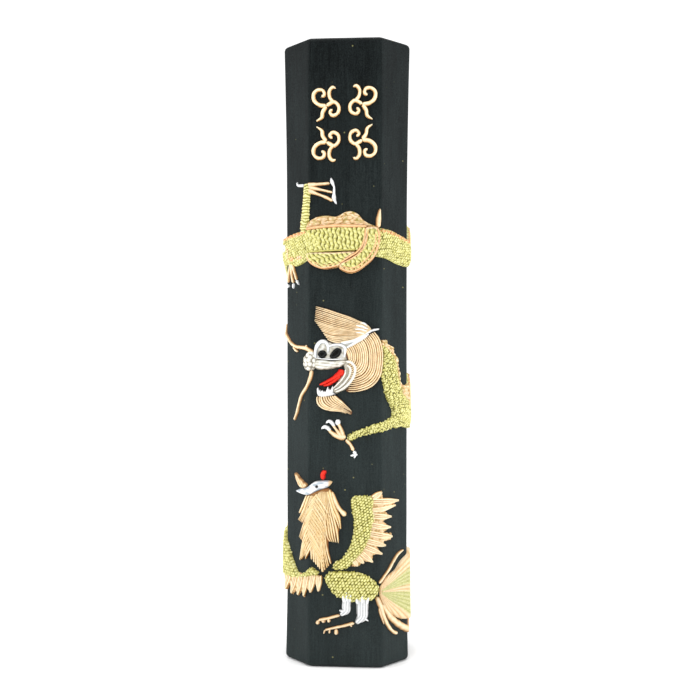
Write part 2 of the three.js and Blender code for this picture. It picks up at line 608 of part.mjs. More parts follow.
function addPhoenixLegs() {
  addRelief(
    "phoenix_left_leg", "pearl_white", LIMB_RELIEF,
    stroke([0.5, 17.2, 0.95], [0.3, 15, 1.05], [0.2, 13.8, 1.05], [-0.6, 13, 0.6]),
    stroke([-0.2, 13.9, 0.5], [-1.2, 13.8, 0.3]),
  );
  addRelief(
    "phoenix_right_leg", "pearl_white", LIMB_RELIEF,
    stroke([4.1, 16.2, 1.45], [4.1, 14, 1.4], [4.1, 12.4, 1.3]),
    stroke([4.6, 11.9, 0.6], [2.8, 11.2, 0.5]),
  );
  addRelief(
    "phoenix_left_foot", "peach_gold", THREAD_RELIEF,
    stroke([-1.2, 12.6, 0.35], [-4, 11.8, 0.35], [-6.3, 11.3, 0.35]),
    stroke([-3.8, 11.7, 0.4], [-3.7, 10.6, 0.3]),
    stroke([-5.1, 11.4, 0.55], [-5.1, 10.4, 0.45]),
    stroke([-6.2, 11.2, 0.45], [-6.4, 9.7, 0.15]),
  );
  addRelief(
    "phoenix_right_foot", "peach_gold", THREAD_RELIEF,
    stroke([2.2, 10.8, 0.4], [0, 10.15, 0.35], [-3, 9.45, 0.3], [-4.8, 9, 0.25]),
    stroke([-2.1, 9.3, 0.45], [-2.1, 7.9, 0.45]),
    stroke([-3.6, 9.2, 0.25], [-3.7, 8.2, 0.2]),
    stroke([-4.8, 9, 0.25], [-5, 8.1, 0.15]),
    stroke([1.2, 10.5, 0.3], [1.6, 9.9, 0.2]),
  );
}

function addPhoenixTail() {
  addRelief(
    "phoenix_body", "gold_green", BODY_RELIEF,
    patch(
      [-4.9, 21.4], [-3.6, 22.8], [-1, 23], [2, 22.9], [4.4, 22.4], [7, 20.9], [8, 19.6], [7.9, 18.2],
      [6.6, 16.4], [4, 15.9], [1.4, 15.8], [-1.2, 16.6], [-3, 17.7], [-4, 19.4],
    ),
  );
  addRelief(
    "phoenix_tail_plume", "peach_gold", THREAD_RELIEF,
    stroke(
      [8, 20.3, 0.3], [9.5, 21.9, 0.35], [11, 23.2, 0.4], [12.5, 25, 0.4], [14, 26.4, 0.35],
      [15.7, 27.2, 0.15],
    ),
  );
  addRelief(
    "phoenix_tail_leaf", "gold_green", HAIR_RELIEF,
    patch(
      [8.1, 19], [9.6, 21.2], [11.2, 22], [13, 22.8], [14.6, 24.4], [17.2, 25.8], [20.6, 26.8], [24, 25.6],
      [27, 22.6], [28.6, 18.8], [27.2, 15], [24, 12], [20.6, 10.5], [17.2, 10.2], [15, 10.6], [13, 11.6],
      [11, 13], [9, 15.2], [8.2, 17.4],
    ),
  );
  addRelief(
    "phoenix_inner_streamer", "peach_gold", THREAD_RELIEF,
    stroke(
      [7.5, 17.1, 0.6], [8.4, 15, 0.65], [9.2, 12.6, 0.6], [10.8, 9.7, 0.5], [12.4, 8, 0.4],
      [13.6, 7.4, 0.45],
    ),
  );
  addRelief(
    "phoenix_outer_streamer", "peach_gold", THREAD_RELIEF,
    stroke(
      [9, 15.4, 0.6], [11, 12.4, 0.8], [13, 10.4, 0.8], [15, 8.9, 0.85], [17.2, 7.7, 0.85],
      [20, 6.9, 0.8], [23, 7.2, 0.7], [25.6, 8.8, 0.5], [27, 11, 0.2],
    ),
  );
}

addInkBody();
addEmblems();
addDragonFace();
addDragonHair();
addDragonFront();
addDragonCoils();
addDragonBack();
addPhoenixHead();
addPhoenixFeathers();
addPhoenixLegs();
addPhoenixTail();

export default inkStick;
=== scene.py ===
"""Looks for an eight-sided ink stick with a dragon and a phoenix raised on its faces.

Everything is drawn on the unrolled skin of the stick, in millimetres: u runs round it from the
middle of the front face, positive to the right, z runs up it, and h is the height over the ink.
fold() puts such a point on the stick, in metres."""

import math

import bmesh
import bpy
import numpy as np
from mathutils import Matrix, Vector


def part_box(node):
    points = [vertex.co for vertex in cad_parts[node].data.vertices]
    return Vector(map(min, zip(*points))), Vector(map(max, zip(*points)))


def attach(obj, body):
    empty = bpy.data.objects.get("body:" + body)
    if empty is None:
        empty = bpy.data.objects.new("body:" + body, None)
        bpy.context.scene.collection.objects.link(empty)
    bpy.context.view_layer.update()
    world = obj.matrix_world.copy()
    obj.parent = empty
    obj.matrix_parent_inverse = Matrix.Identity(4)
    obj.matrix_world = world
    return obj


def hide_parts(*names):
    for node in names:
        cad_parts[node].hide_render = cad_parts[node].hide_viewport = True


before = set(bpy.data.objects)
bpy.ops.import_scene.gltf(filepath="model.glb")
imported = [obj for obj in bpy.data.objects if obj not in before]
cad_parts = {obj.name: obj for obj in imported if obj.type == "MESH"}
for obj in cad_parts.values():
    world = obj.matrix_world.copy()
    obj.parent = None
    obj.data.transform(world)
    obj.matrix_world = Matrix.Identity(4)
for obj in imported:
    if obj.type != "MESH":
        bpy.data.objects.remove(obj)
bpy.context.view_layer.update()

# ---- The stick, in millimetres ----

MM = 0.001
LOW, HIGH = [np.array(corner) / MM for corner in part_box("ink_body")]
LENGTH = HIGH[2] - LOW[2]
DEPTH = HIGH[1] - LOW[1]
TOP_FLARE = 0.75  # how far each side face leans out at the top end
TOP_FLARE_RUN = 60.0
BOTTOM_FLARE = 0.35
BOTTOM_FLARE_RUN = 25.0
WIDTH = HIGH[0] - LOW[0] - 2 * TOP_FLARE
FACE_WIDTH = 17.4
SIDE_WIDTH = 12.0
BEVEL_WIDTH = 8.485
RIM_RADIUS = 1.2
EDGE_SOFTNESS = 0.35  # how far from a corner the ink starts to round off
SUNK = 0.3  # how deep the underside of a raised piece lies in the ink

PANELS = np.array(2 * [BEVEL_WIDTH, SIDE_WIDTH, BEVEL_WIDTH, FACE_WIDTH])
ROUND = PANELS.sum()
FOLDS = FACE_WIDTH / 2 + np.concatenate([[0], np.cumsum(PANELS)])
HALF = np.array([FACE_WIDTH / 2, WIDTH / 2, DEPTH / 2, SIDE_WIDTH / 2])
QUARTER = [(HALF[0], -HALF[2]), (HALF[1], -HALF[3]), (HALF[1], HALF[3]), (HALF[0], HALF[2])]
CORNERS = np.array(QUARTER + [(-x, -y) for x, y in QUARTER])


def mitres():
    """How far each corner moves for each millimetre of height over the two faces beside it."""
    ahead = np.roll(CORNERS, -1, 0) - CORNERS
    normal = np.stack([ahead[:, 1], -ahead[:, 0]], 1)
    normal /= np.linalg.norm(normal, axis=1)[:, None]
    before = np.roll(normal, 1, 0)
    return (normal + before) / (1 + (normal * before).sum(1))[:, None]


MITRES = mitres()


def lean(x, z):
    """The side faces lean out towards both ends."""
    top = np.clip((z - LENGTH + TOP_FLARE_RUN) / TOP_FLARE_RUN, 0, None)
    bottom = np.clip((BOTTOM_FLARE_RUN - z) / BOTTOM_FLARE_RUN, 0, None)
    share = np.clip((np.abs(x) - HALF[0]) / (HALF[1] - HALF[0]), 0, 1)
    return x + np.sign(x) * (TOP_FLARE * top**2 + BOTTOM_FLARE * bottom**2) * share


def fold(u, z, h):
    """Points of the unrolled skin, placed on the stick, in metres."""
    u, z, h = np.broadcast_arrays(np.asarray(u, float), z, h)
    along = FOLDS[0] + np.mod(u - FOLDS[0], ROUND)
    panel = np.clip(np.searchsorted(FOLDS, along, side="right") - 1, 0, 7)
    share = ((along - FOLDS[panel]) / PANELS[panel])[..., None]
    start = CORNERS[panel] + h[..., None] * MITRES[panel]
    after = (panel + 1) % 8
    end = CORNERS[after] + h[..., None] * MITRES[after]
    flat = start + (end - start) * share
    return np.stack([lean(flat[..., 0], z), flat[..., 1], z], -1) * MM


# ---- Curves and distances on the skin ----


def spline(rows, count, closed=False):
    """Points of a centripetal Catmull-Rom curve through rows, whose first two columns are u and z."""
    rows = np.array(rows, float)
    if closed:
        rows = np.vstack([rows[-1:], rows, rows[:2]])
    else:
        rows = np.vstack([2 * rows[0] - rows[1], rows, 2 * rows[-1] - rows[-2]])
    gaps = np.maximum(np.linalg.norm(np.diff(rows[:, :2], axis=0), axis=1) ** 0.5, 1e-6)
    knots = np.concatenate([[0], np.cumsum(gaps)])
    at = np.linspace(knots[1], knots[-2], count, endpoint=not closed)
    i = np.clip(np.searchsorted(knots, at, side="right") - 1, 1, len(rows) - 3)
    at = at[:, None]
    k = [knots[i + step][:, None] for step in (-1, 0, 1, 2)]
    p = [rows[i + step] for step in (-1, 0, 1, 2)]
    low = [((k[j + 1] - at) * p[j] + (at - k[j]) * p[j + 1]) / (k[j + 1] - k[j]) for j in range(3)]
    mid = [((k[j + 2] - at) * low[j] + (at - k[j]) * low[j + 1]) / (k[j + 2] - k[j]) for j in range(2)]
    return ((k[2] - at) * mid[0] + (at - k[1]) * mid[1]) / (k[2] - k[1])


def evenly(points, count):
    """The same curve with its points at even distances along it."""
    run = np.concatenate([[0], np.cumsum(np.linalg.norm(np.diff(points[:, :2], axis=0), axis=1))])
    at = np.linspace(0, run[-1], count)
    return np.stack([np.interp(at, run, column) for column in points.T], 1)


def inside(u, z, outline):
    """Distance in from a closed outline; negative outside it."""
    end = np.roll(outline, -1, 0)
    best = np.full(u.shape, np.inf)
    odd = np.zeros(u.shape, bool)
    for (au, az), (bu, bz) in zip(outline[:, :2], end[:, :2]):
        du, dz = bu - au, bz - az
        t = np.clip(((u - au) * du + (z - az) * dz) / (du * du + dz * dz + 1e-12), 0, 1)
        best = np.minimum(best, (u - au - t * du) ** 2 + (z - az - t * dz) ** 2)
        if dz:
            odd ^= ((az > z) != (bz > z)) & (u < au + (z - az) * du / dz)
    return np.where(odd, 1, -1) * np.sqrt(best)


def along(u, z, line):
    """For each point, how far it is along a line of (u, z, half width), how far to its left, and
    how deep inside its width."""
    run = np.concatenate([[0], np.cumsum(np.linalg.norm(np.diff(line[:, :2], axis=0), axis=1))])
    best = np.full(u.shape, np.inf)
    distance, left, half = (np.zeros(u.shape) for _ in range(3))
    for i in range(len(line) - 1):
        (au, az, ah), (bu, bz, bh) = line[i, :3], line[i + 1, :3]
        du, dz = bu - au, bz - az
        long = run[i + 1] - run[i] + 1e-9
        free = ((u - au) * du + (z - az) * dz) / long**2
        t = np.clip(free, 0, 1)
        off = np.hypot(u - au - t * du, z - az - t * dz)
        near = off < best
        best = np.where(near, off, best)
        on = np.clip(free, -9 if i == 0 else 0, 9 if i == len(line) - 2 else 1)
        distance = np.where(near, run[i] + on * long, distance)
        left = np.where(near, (du * (z - az) - dz * (u - au)) / long, left)
        half = np.where(near, ah + t * (bh - ah), half)
    return distance, left, half - best


# ---- Patterns ----


def noise(a, b, seed):
    """Smooth noise from -1 to 1 with features about one unit across."""
    rng = np.random.default_rng(seed)
    total = np.zeros(np.broadcast(a, b).shape)
    for _ in range(6):
        turn, phase, pace = rng.uniform(0, 2 * math.pi), rng.uniform(0, 2 * math.pi), rng.uniform(2, 5)
        total += np.sin(pace * (a * math.cos(turn) + b * math.sin(turn)) + phase)
    return total / 3.5


def scatter(col, row, seed):
    """A repeatable number from 0 to 1 for each cell of a grid."""
    value = np.sin(col * 127.1 + row * 311.7 + seed * 74.7) * 43758.5453
    return value - np.floor(value)


def domes(a, b, seed, jitter=0.35, size=0.56):
    """Rows of domes, one to a unit square and staggered: 1 on top of a dome and 0 between them."""
    row = np.floor(b)
    best = np.full(np.broadcast(a, b).shape, np.inf)
    for near_row in (row - 1, row, row + 1):
        shift = 0.5 * np.mod(near_row, 2)
        col = np.floor(a - shift)
        for near_col in (col - 1, col, col + 1):
            off_a = jitter * (scatter(near_col, near_row, seed) - 0.5)
            off_b = jitter * (scatter(near_col, near_row, seed + 1) - 0.5)
            across = a - near_col - shift - 0.5 - off_a
            up = b - near_row - 0.5 - off_b
            best = np.minimum(best, np.hypot(across, up))
    return np.sqrt(np.clip(1 - (best / size) ** 2, 0, 1))


ROW_SWAY = 0.2  # how far a row of scales winds from side to side
ROW_SWAY_PITCH = 2.3


def waves(a, b, seed):
    """Rows of overlapping scales: each row swells, then drops steeply where the next begins."""
    sway = ROW_SWAY * np.sin(2 * math.pi * b / ROW_SWAY_PITCH + 1.3 * np.floor(a + 0.1))
    bent = a + sway + 0.14 * noise(a, b, seed)
    part = np.mod(bent, 1)
    rise = np.clip(part / 0.22, 0, 1) * np.clip((1 - part) / 0.16, 0, 1)
    row = np.floor(bent)
    notch = np.mod(b / 1.15 + 0.5 * np.mod(row, 2) + 0.2 * scatter(row, row, seed), 1)
    return rise**0.8 * (0.72 + 0.28 * np.sin(math.pi * notch) ** 0.6) * (0.7 + 0.3 * (1 - part))


def blend(low, high, value):
    """From 0 at low to 1 at high, smoothly."""
    t = np.clip((value - low) / (high - low), 0, 1)
    return t * t * (3 - 2 * t)


def swell(depth, reach, height):
    """A rounded edge: up to height over reach, and straight down into the ink outside the outline."""
    t = np.clip(depth / reach, 0, 1)
    return np.where(depth > 0, height * np.sqrt(1 - (1 - t) ** 2), depth * 2.2)


# ---- Paint: colours, with painted shade and highlights, are mixed at each vertex, and the materials add the finer variation ----


def linear(red, green, blue):
    """A colour given as it looks on a screen, from 0 to 255, as the shader wants it."""
    c = np.array([red, green, blue]) / 255
    return np.where(c < 0.04045, c / 12.92, ((c + 0.055) / 1.055) ** 2.4)


# From GREEN to RED each paint runs from painted shade, for its crevices, through its own colour to a
# painted highlight, for its ridges; BLACK runs from the eye's black to the grey of its ring.
GREEN = [linear(66, 60, 16), linear(164, 157, 60), linear(213, 207, 113), linear(243, 239, 168)]
PEACH = [linear(118, 70, 28), linear(204, 154, 94), linear(235, 200, 150), linear(252, 232, 196)]
HAIR = [linear(96, 54, 20), linear(196, 144, 88), linear(243, 212, 160), linear(255, 240, 204)]
ORANGE = [linear(120, 62, 22), linear(200, 124, 64), linear(232, 172, 112), linear(246, 206, 154)]
FEATHER = [linear(150, 88, 30), linear(220, 172, 102), linear(243, 214, 156), linear(254, 238, 200)]
CREAM = [linear(176, 112, 50), linear(232, 184, 120), linear(250, 224, 172), linear(255, 243, 210)]
WHITE = [linear(58, 60, 62), linear(184, 186, 186), linear(232, 234, 235), linear(250, 251, 252)]
BONE = [linear(84, 76, 62), linear(176, 168, 150), linear(222, 218, 204), linear(246, 246, 240)]
LEAF = [linear(112, 106, 42), linear(166, 166, 84), linear(194, 193, 120), linear(218, 214, 158)]
RED = [linear(132, 6, 4), linear(204, 12, 6), linear(226, 24, 12), linear(240, 60, 40)]
BLACK = [linear(2, 3, 3), linear(4, 5, 5), linear(9, 10, 10), linear(48, 54, 54)]
OLIVE = linear(142, 128, 40)
SILVER = linear(158, 174, 188)
STOPS = [0, 0.45, 0.75, 1]


def tint(paint, tone):
    """The paint's colour where tone runs from 0, painted shade in its crevices, to 1, a painted highlight
    on its ridges.
    """
    return np.stack([np.interp(tone, STOPS, [stop[i] for stop in paint]) for i in range(3)], -1)


def mix(first, second, share):
    return first + (second - first) * np.asarray(share)[..., None]


# ---- Meshes ----


class Build:
    """Gathers the points, faces and vertex colours of one piece."""

    def __init__(self):
        self.points, self.faces, self.colours, self.count = [], [], [], 0

    def add(self, points, faces, colours):
        """faces is a list of arrays, each with the corners of its faces in rows."""
        self.points.append(points.reshape(-1, 3))
        self.colours.append(np.clip(colours.reshape(-1, 3), 0, 1))
        self.faces += [(np.asarray(block) + self.count).tolist() for block in faces]
        self.count += len(self.points[-1])

    def piece(self, node, slot):
        """The Blender object that stands for a CAD node."""
        points, colours = np.vstack(self.points), np.vstack(self.colours)
        mesh = bpy.data.meshes.new("fine_" + node)
        mesh.from_pydata(points.tolist(), [], [face for block in self.faces for face in block])
        attribute = mesh.color_attributes.new("paint", "FLOAT_COLOR", "POINT")
        attribute.data.foreach_set("color", np.column_stack([colours, np.ones(len(colours))]).ravel())
        work = bmesh.new()
        work.from_mesh(mesh)
        bmesh.ops.recalc_face_normals(work, faces=work.faces)
        for face in work.faces:
            face.smooth = True
        work.to_mesh(mesh)
        work.free()
        mesh.materials.append(MATERIALS[slot])
        piece = bpy.data.objects.new("fine_" + node, mesh)
        bpy.context.scene.collection.objects.link(piece)
        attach(piece, "root")
        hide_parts(node)


def add_field(build, area, surface, step=0.13):
    """A raised patch. surface(u, z) gives the height and colour over the area's box; the patch ends
    where it dips under the ink, and is closed with an underside in the ink."""
    low, high = area
    margin = 2.5 * step
    us = np.arange(low[0] - margin, high[0] + margin + step, step)
    zs = np.arange(low[1] - margin, high[1] + margin + step, step)
    u, z = np.meshgrid(us, zs, indexing="ij")
    h, colours = surface(u, z)
    near = h > -SUNK
    cells = near[:-1, :-1] | near[1:, :-1] | near[:-1, 1:] | near[1:, 1:]
    index = np.arange(u.size).reshape(u.shape)
    quads = np.stack([index[:-1, :-1], index[1:, :-1], index[1:, 1:], index[:-1, 1:]], -1)[cells]
    used, quads = np.unique(quads, return_inverse=True)
    quads = quads.reshape(-1, 4)
    u, z, h, colours = u.ravel()[used], z.ravel()[used], h.ravel()[used], colours.reshape(-1, 3)[used]
    sides = np.concatenate([quads[:, [i, (i + 1) % 4]] for i in range(4)])
    key = np.sort(sides, 1) @ [len(used), 1]
    first, times = np.unique(key, return_index=True, return_counts=True)[1:]
    rim = sides[first[times == 1]]
    walls = np.column_stack([rim[:, 1], rim[:, 0], rim[:, 0] + len(used), rim[:, 1] + len(used)])
    top = fold(u, z, np.maximum(h, -SUNK * 0.9))
    bottom = fold(u, z, np.full(u.shape, -SUNK * 1.1))
    faces = [quads, quads[:, ::-1] + len(used), walls]
    build.add(np.vstack([top, bottom]), faces, np.vstack([colours] * 2))


# Half of a strand's section: how far aside in half widths, and how high in crests.
AROUND = np.linspace(0, math.pi / 2, 5)
ASIDE = np.concatenate([[-1], -np.cos(AROUND), np.cos(AROUND[-2::-1]), [1]])
RISE = np.concatenate([[-1], np.sin(AROUND), np.sin(AROUND[-2::-1]), [-1]])
POINTED_END = 0.15  # how wide the very end of a strand is, in half widths
UNEVEN = 0.1  # how much a strand's width wanders


def add_strand(build, rows, height, paint, lift=0.0, tone=(0.08, 1.0)):
    """A raised line with a half-round section and rounded ends, through rows of u, z and half
    width. tone is how deep and how bright its paint is at its sides and on its ridge: painted shade at its
    sides and a painted highlight on its ridge."""
    rows = np.array(rows, float)
    length = np.linalg.norm(np.diff(rows[:, :2], axis=0), axis=1).sum()
    count = max(8, int(length / 0.25))
    line = evenly(spline(rows, 4 * count), count)
    line[:, 2] *= 1 + UNEVEN * noise(line[:, 0], line[:, 1], 6)
    way = np.gradient(line[:, :2], axis=0)
    way /= np.linalg.norm(way, axis=1)[:, None] + 1e-9
    s = np.linspace(0, length, count)
    from_end = [s / max(line[0, 2], 0.05), (length - s) / max(line[-1, 2], 0.05)]
    cap = [np.sqrt(np.clip(1 - (1 - np.clip(end, 0, 1)) ** 2, POINTED_END**2, 1)) for end in from_end]
    cap = cap[0] * cap[1]
    offset = (line[:, 2] * cap)[:, None] * ASIDE[None, :]
    u = line[:, :1] - way[:, 1:] * offset
    z = line[:, 1:2] + way[:, :1] * offset
    crest = (height * (0.35 + 0.65 * cap))[:, None]
    h = np.where(RISE < 0, -SUNK, lift + crest * np.clip(RISE, 0, 1))
    tones = tone[0] + (tone[1] - tone[0]) * np.clip(RISE, 0, 1) ** 1.6 + 0.06 * noise(u, z, 5)
    ring = len(ASIDE)
    index = np.arange(count * ring).reshape(count, ring)
    ahead = np.roll(index, -1, 1)
    quads = np.stack([index[:-1], ahead[:-1], ahead[1:], index[1:]], -1).reshape(-1, 4)
    middle = ring // 2
    caps = index[[0, -1]]
    ends = [[[cap[i], cap[i + 1], cap[-2 - i], cap[-1 - i]] for i in range(middle - 1)] for cap in caps]
    tips = [[cap[middle - 1], cap[middle], cap[middle + 1]] for cap in caps]
    build.add(fold(u, z, h), [quads, *ends, tips], tint(paint, tones))


def add_strands(build, first, last, count, height, paint, lift=0.0, fill=0.52, ragged=0.0, seed=1):
    """Strands side by side from one guide line to another, each a little uneven."""
    rng = np.random.default_rng(seed)
    first, last = [evenly(spline(guide, 160), 24) for guide in (first, last)]
    apart = np.linalg.norm((last - first)[:, :2], axis=1) / max(count - 1, 1)
    taper = np.interp(np.linspace(0, 1, 24), [0, 0.08, 0.75, 1], [0.7, 1, 0.9, 0.35])
    for i in range(count):
        share = i / max(count - 1, 1) + rng.uniform(-0.12, 0.12) / count
        line = first[:, :2] + (last - first)[:, :2] * share
        half = np.clip(apart * fill, 0.12, 0.5) * taper * rng.uniform(0.85, 1.08)
        end = 24 - int(24 * ragged * rng.uniform(0, 1))
        rows = np.column_stack([line, half])[:end]
        top = height * rng.uniform(0.88, 1.0)
        add_strand(build, rows[::2], top, paint, lift, tone=(0.05, rng.uniform(0.85, 1.0)))


def box_of(rows, reach=0.0):
    """The box round rows of u and z."""
    rows = np.array([row[:2] for row in rows], float)
    return rows.min(0) - reach, rows.max(0) + reach


def add_patch(build, outline, height, reach, texture, smooth=True, step=0.11, ragged=0.0):
    """A raised patch inside a closed outline. texture(u, z, depth) gives how much of the height is
    left at each point, and its colour. ragged is how far its edge wanders."""
    line = spline(outline, 6 * len(outline), closed=True) if smooth else np.array(outline, float)

    def surface(u, z):
        depth = inside(u, z, line) + ragged * (noise(2.2 * u, 2.2 * z, 31) - 0.3)
        share, colours = texture(u, z, depth)
        h = swell(depth, reach, height)
        return np.where(depth > 0, h * share, h), colours

    add_field(build, box_of(line), surface, step)


TOOTH_PITCH = 1.3  # how far apart the teeth of a saw edge are


def add_limb(build, rows, height, texture, step=0.11, ragged=0.0, teeth=0.0, spots=()):
    """A raised limb along rows of u, z and half width, round across. texture(s, t, depth) takes how
    far along the limb a point is and how far to its left. teeth is how deep its left edge is cut."""
    line = spline(rows, 6 * len(rows))

    def surface(u, z):
        s, t, depth = along(u, z, line)
        depth = depth + ragged * (noise(2.2 * s, 2.2 * t, 32) - 0.3)
        depth = depth - teeth * np.mod(s / TOOTH_PITCH, 1) * blend(0, 0.5, t)
        half = np.maximum(depth + np.abs(t), 0.1)
        share, colours = texture(s, t, depth)
        for at_u, at_z, wide, tall, paint in spots:
            off = np.mod(u - at_u + ROUND / 2, ROUND) - ROUND / 2
            near = blend(1.2, 0.6, np.hypot(off / wide, (z - at_z) / tall))
            # The spots take painted shade and painted highlights from the height there, like the paint
            # round them.
            colours = mix(colours, tint(paint, (share - 0.5) * 2), near)
        h = swell(depth, 0.75 * half, height)
        return np.where(depth > 0, h * share, h), colours

    add_field(build, box_of(line, line[:, 2].max()), surface, step)


def shaped_piece(node, slot, add_shape, *shape, over=(), **how):
    """A piece made of one patch or limb. over is the sets of strands laid on it: the lines of each
    set, and their height, paint, lift and tone."""
    build = Build()
    add_shape(build, *shape, **how)
    for lines, *look in over:
        for rows in lines:
            add_strand(build, rows, *look)
    build.piece(node, slot)


# ---- Textures: how much of the height is left, and the colour ----


def plain(paint, tone=0.8, groove=None, mottle=0.1):
    """Smooth paint, with painted shade at the foot of the edge and in its grooves."""

    def texture(u, z, depth):
        lines = groove(u, z) if groove else np.ones(u.shape)
        edge = blend(0, 0.35, depth)
        tones = tone * (0.25 + 0.75 * edge) * (0.35 + 0.65 * lines) + mottle * noise(u * 1.5, z * 1.5, 8)
        return 0.78 + 0.22 * lines, tint(paint, tones)

    return texture


def knobs(size=(0.7, 0.6), deep=0.38, turn=0.8, seed=3, floor=0.08, stray=1.0):
    """Green knobs in slanted rows, with painted highlights on their tops and painted shade in the
    crevices between them, whose tone is floor. stray is how far they wander from their rows."""

    def texture(a, b, depth):
        along_row = (a * math.cos(turn) + b * math.sin(turn)) / size[0]
        across = (b * math.cos(turn) - a * math.sin(turn)) / size[1]
        along_row = along_row + 0.22 * stray * noise(a / 2, b / 2, seed)
        across = across + 0.22 * stray * noise(b / 2, a / 2, seed + 1)
        dome = domes(along_row, across, seed, jitter=0.55 * stray)
        tones = floor + (1 - floor) * dome**1.1 + 0.12 * noise(a, b, seed)
        return 1 - deep + deep * dome, tint(GREEN, tones)

    return texture


def rows_of_scales(turn, pitch, deep, seed, rim=0.0):
    """Rows of overlapping green scales at an angle to the z axis, with a peach rim of that width. Their
    colour follows their height, painted shade low and a painted highlight high, with painted shade at the
    foot of the rim.
    """

    def texture(u, z, depth):
        a = (u * math.cos(turn) + z * math.sin(turn)) / pitch
        b = (z * math.cos(turn) - u * math.sin(turn)) / pitch
        wave = waves(a, b, seed)
        colours = tint(GREEN, 1.08 * wave)
        if rim:
            peach = tint(PEACH, 0.5 + 0.5 * blend(0, rim, depth))
            colours = mix(peach, colours, blend(0.7 * rim, 1.1 * rim, depth))
        return 1 - deep + deep * wave, colours

    return texture


RING_DEPTH = 0.35


def rings(pitch):
    """Rings across a limb, with painted shade in the grooves between them and a peach edge on its left."""

    def texture(s, t, depth):
        ring = np.abs(np.sin(math.pi * s / pitch + 0.9 * noise(s / 1.5, t / 1.2, 6))) ** 0.9
        green = tint(GREEN, 0.12 + 0.88 * ring)
        edge = blend(0.6, 0.8, t / np.maximum(np.abs(t) + depth, 0.1))
        return 1 - RING_DEPTH + RING_DEPTH * ring, mix(green, tint(PEACH, 0.85 * ring + 0.1), edge)

    return texture


def mottled(u, z, depth):
    """Curls of peach with brown painted shade and olive paint between them, and painted highlights on the
    curls, for the fins.
    """
    curl = domes(u / 1.15 + 0.2 * noise(u, z, 12), z / 0.85, 13, jitter=0.6, size=0.6)
    line = np.abs(np.sin(math.pi * (depth / 0.55 + 0.4 * noise(u, z, 14)))) ** 0.6
    tones = (0.3 + 0.7 * curl) * (0.5 + 0.5 * line)
    olive = 0.5 * blend(0.6, 0.1, tones) + 0.4 * blend(0.1, 0.7, noise(u, z, 15))
    return 0.72 + 0.28 * curl * line, mix(tint(PEACH, tones), GREEN[1], olive)


def bumpy_white(u, z, depth):
    """The dragon's nose: soft white lumps, with painted highlights on their tops and painted shade between
    them and at the foot of the edge.
    """
    dome = domes(u / 1.05, z / 1.05, 21, jitter=0.6)
    return 0.6 + 0.4 * dome, tint(BONE, (0.2 + 0.85 * dome) * (0.45 + 0.55 * blend(0, 0.3, depth)))


# ---- Materials ----


class Nodes:
    """Short names for building a node tree."""

    def __init__(self, name):
        self.material = bpy.data.materials.new(name)
        self.material.use_nodes = True
        self.tree = self.material.node_tree
        self.shader = self.tree.nodes["Principled BSDF"]
        self.place = self.new("ShaderNodeTexCoord").outputs["Object"]

    def new(self, kind, **values):
        node = self.tree.nodes.new(kind)
        for key, value in values.items():
            setattr(node, key, value)
        return node

    def link(self, source, target):
        self.tree.links.new(source, target)

    def stretched(self, x, y, z):
        node = self.new("ShaderNodeMapping")
        node.inputs["Scale"].default_value = (x, y, z)
        self.link(self.place, node.inputs["Vector"])
        return node.outputs["Vector"]

    def noise(self, vector, scale, detail=3.0, roughness=0.55):
        node = self.new("ShaderNodeTexNoise")
        for key, value in (("Scale", scale), ("Detail", detail), ("Roughness", roughness)):
            node.inputs[key].default_value = value
        self.link(vector, node.inputs["Vector"])
        return node.outputs["Fac"]

    def span(self, value, low, high, to_low, to_high):
        node = self.new("ShaderNodeMapRange")
        ends = {"From Min": low, "From Max": high, "To Min": to_low, "To Max": to_high}
        for key, number in ends.items():
            node.inputs[key].default_value = number
        self.link(value, node.inputs["Value"])
        return node.outputs["Result"]

    def maths(self, operation, first, second):
        node = self.new("ShaderNodeMath", operation=operation)
        self.link(first, node.inputs[0])
        self.link(second, node.inputs[1])
        return node.outputs["Value"]

    def ramp(self, share, *colours):
        node = self.new("ShaderNodeValToRGB")
        for element, colour in zip(node.color_ramp.elements, colours):
            element.color = (*colour, 1)
        self.link(share, node.inputs["Fac"])
        return node.outputs["Color"]

    def mixed(self, kind, share, first, second):
        """share is a number or a socket; first and second are colour sockets."""
        node = self.new("ShaderNodeMix", data_type="RGBA", blend_type=kind)
        sockets = {socket.identifier: socket for socket in node.inputs}
        if isinstance(share, float):
            sockets["Factor_Float"].default_value = share
        else:
            self.link(share, sockets["Factor_Float"])
        self.link(first, sockets["A_Color"])
        self.link(second, sockets["B_Color"])
        return [socket for socket in node.outputs if socket.identifier == "Result_Color"][0]

    def bump(self, height, distance, strength, under=None):
        node = self.new("ShaderNodeBump")
        node.inputs["Distance"].default_value = distance
        node.inputs["Strength"].default_value = strength
        self.link(height, node.inputs["Height"])
        if under:
            self.link(under, node.inputs["Normal"])
        return node.outputs["Normal"]


def paint_material(name, roughness, mottle, grain, coat=0.0, gloss=0.5):
    """Hand-laid paint on the vertex colours: mottled, with fine brush grain and uneven gloss."""
    n = Nodes(name)
    base = n.new("ShaderNodeVertexColor", layer_name="paint").outputs["Color"]
    cloud = n.span(n.noise(n.place, 900, 4.0), 0.3, 0.7, 1 - mottle, 1.0)
    fleck = n.span(n.noise(n.place, 3200, 2.0), 0.35, 0.65, 0.93, 1.05)
    shade = n.ramp(n.maths("MULTIPLY", cloud, fleck), (0, 0, 0), (1, 1, 1))
    n.link(n.mixed("MULTIPLY", 1.0, base, shade), n.shader.inputs["Base Color"])
    uneven = n.span(n.noise(n.place, 1500, 3.0), 0.3, 0.7, roughness - 0.08, roughness + 0.12)
    n.link(uneven, n.shader.inputs["Roughness"])
    n.shader.inputs["Specular IOR Level"].default_value = gloss
    n.link(n.bump(n.noise(n.place, 2600, 3.0), 0.00004, grain), n.shader.inputs["Normal"])
    n.shader.inputs["Coat Weight"].default_value = coat
    n.shader.inputs["Coat Roughness"].default_value = 0.2
    return n.material


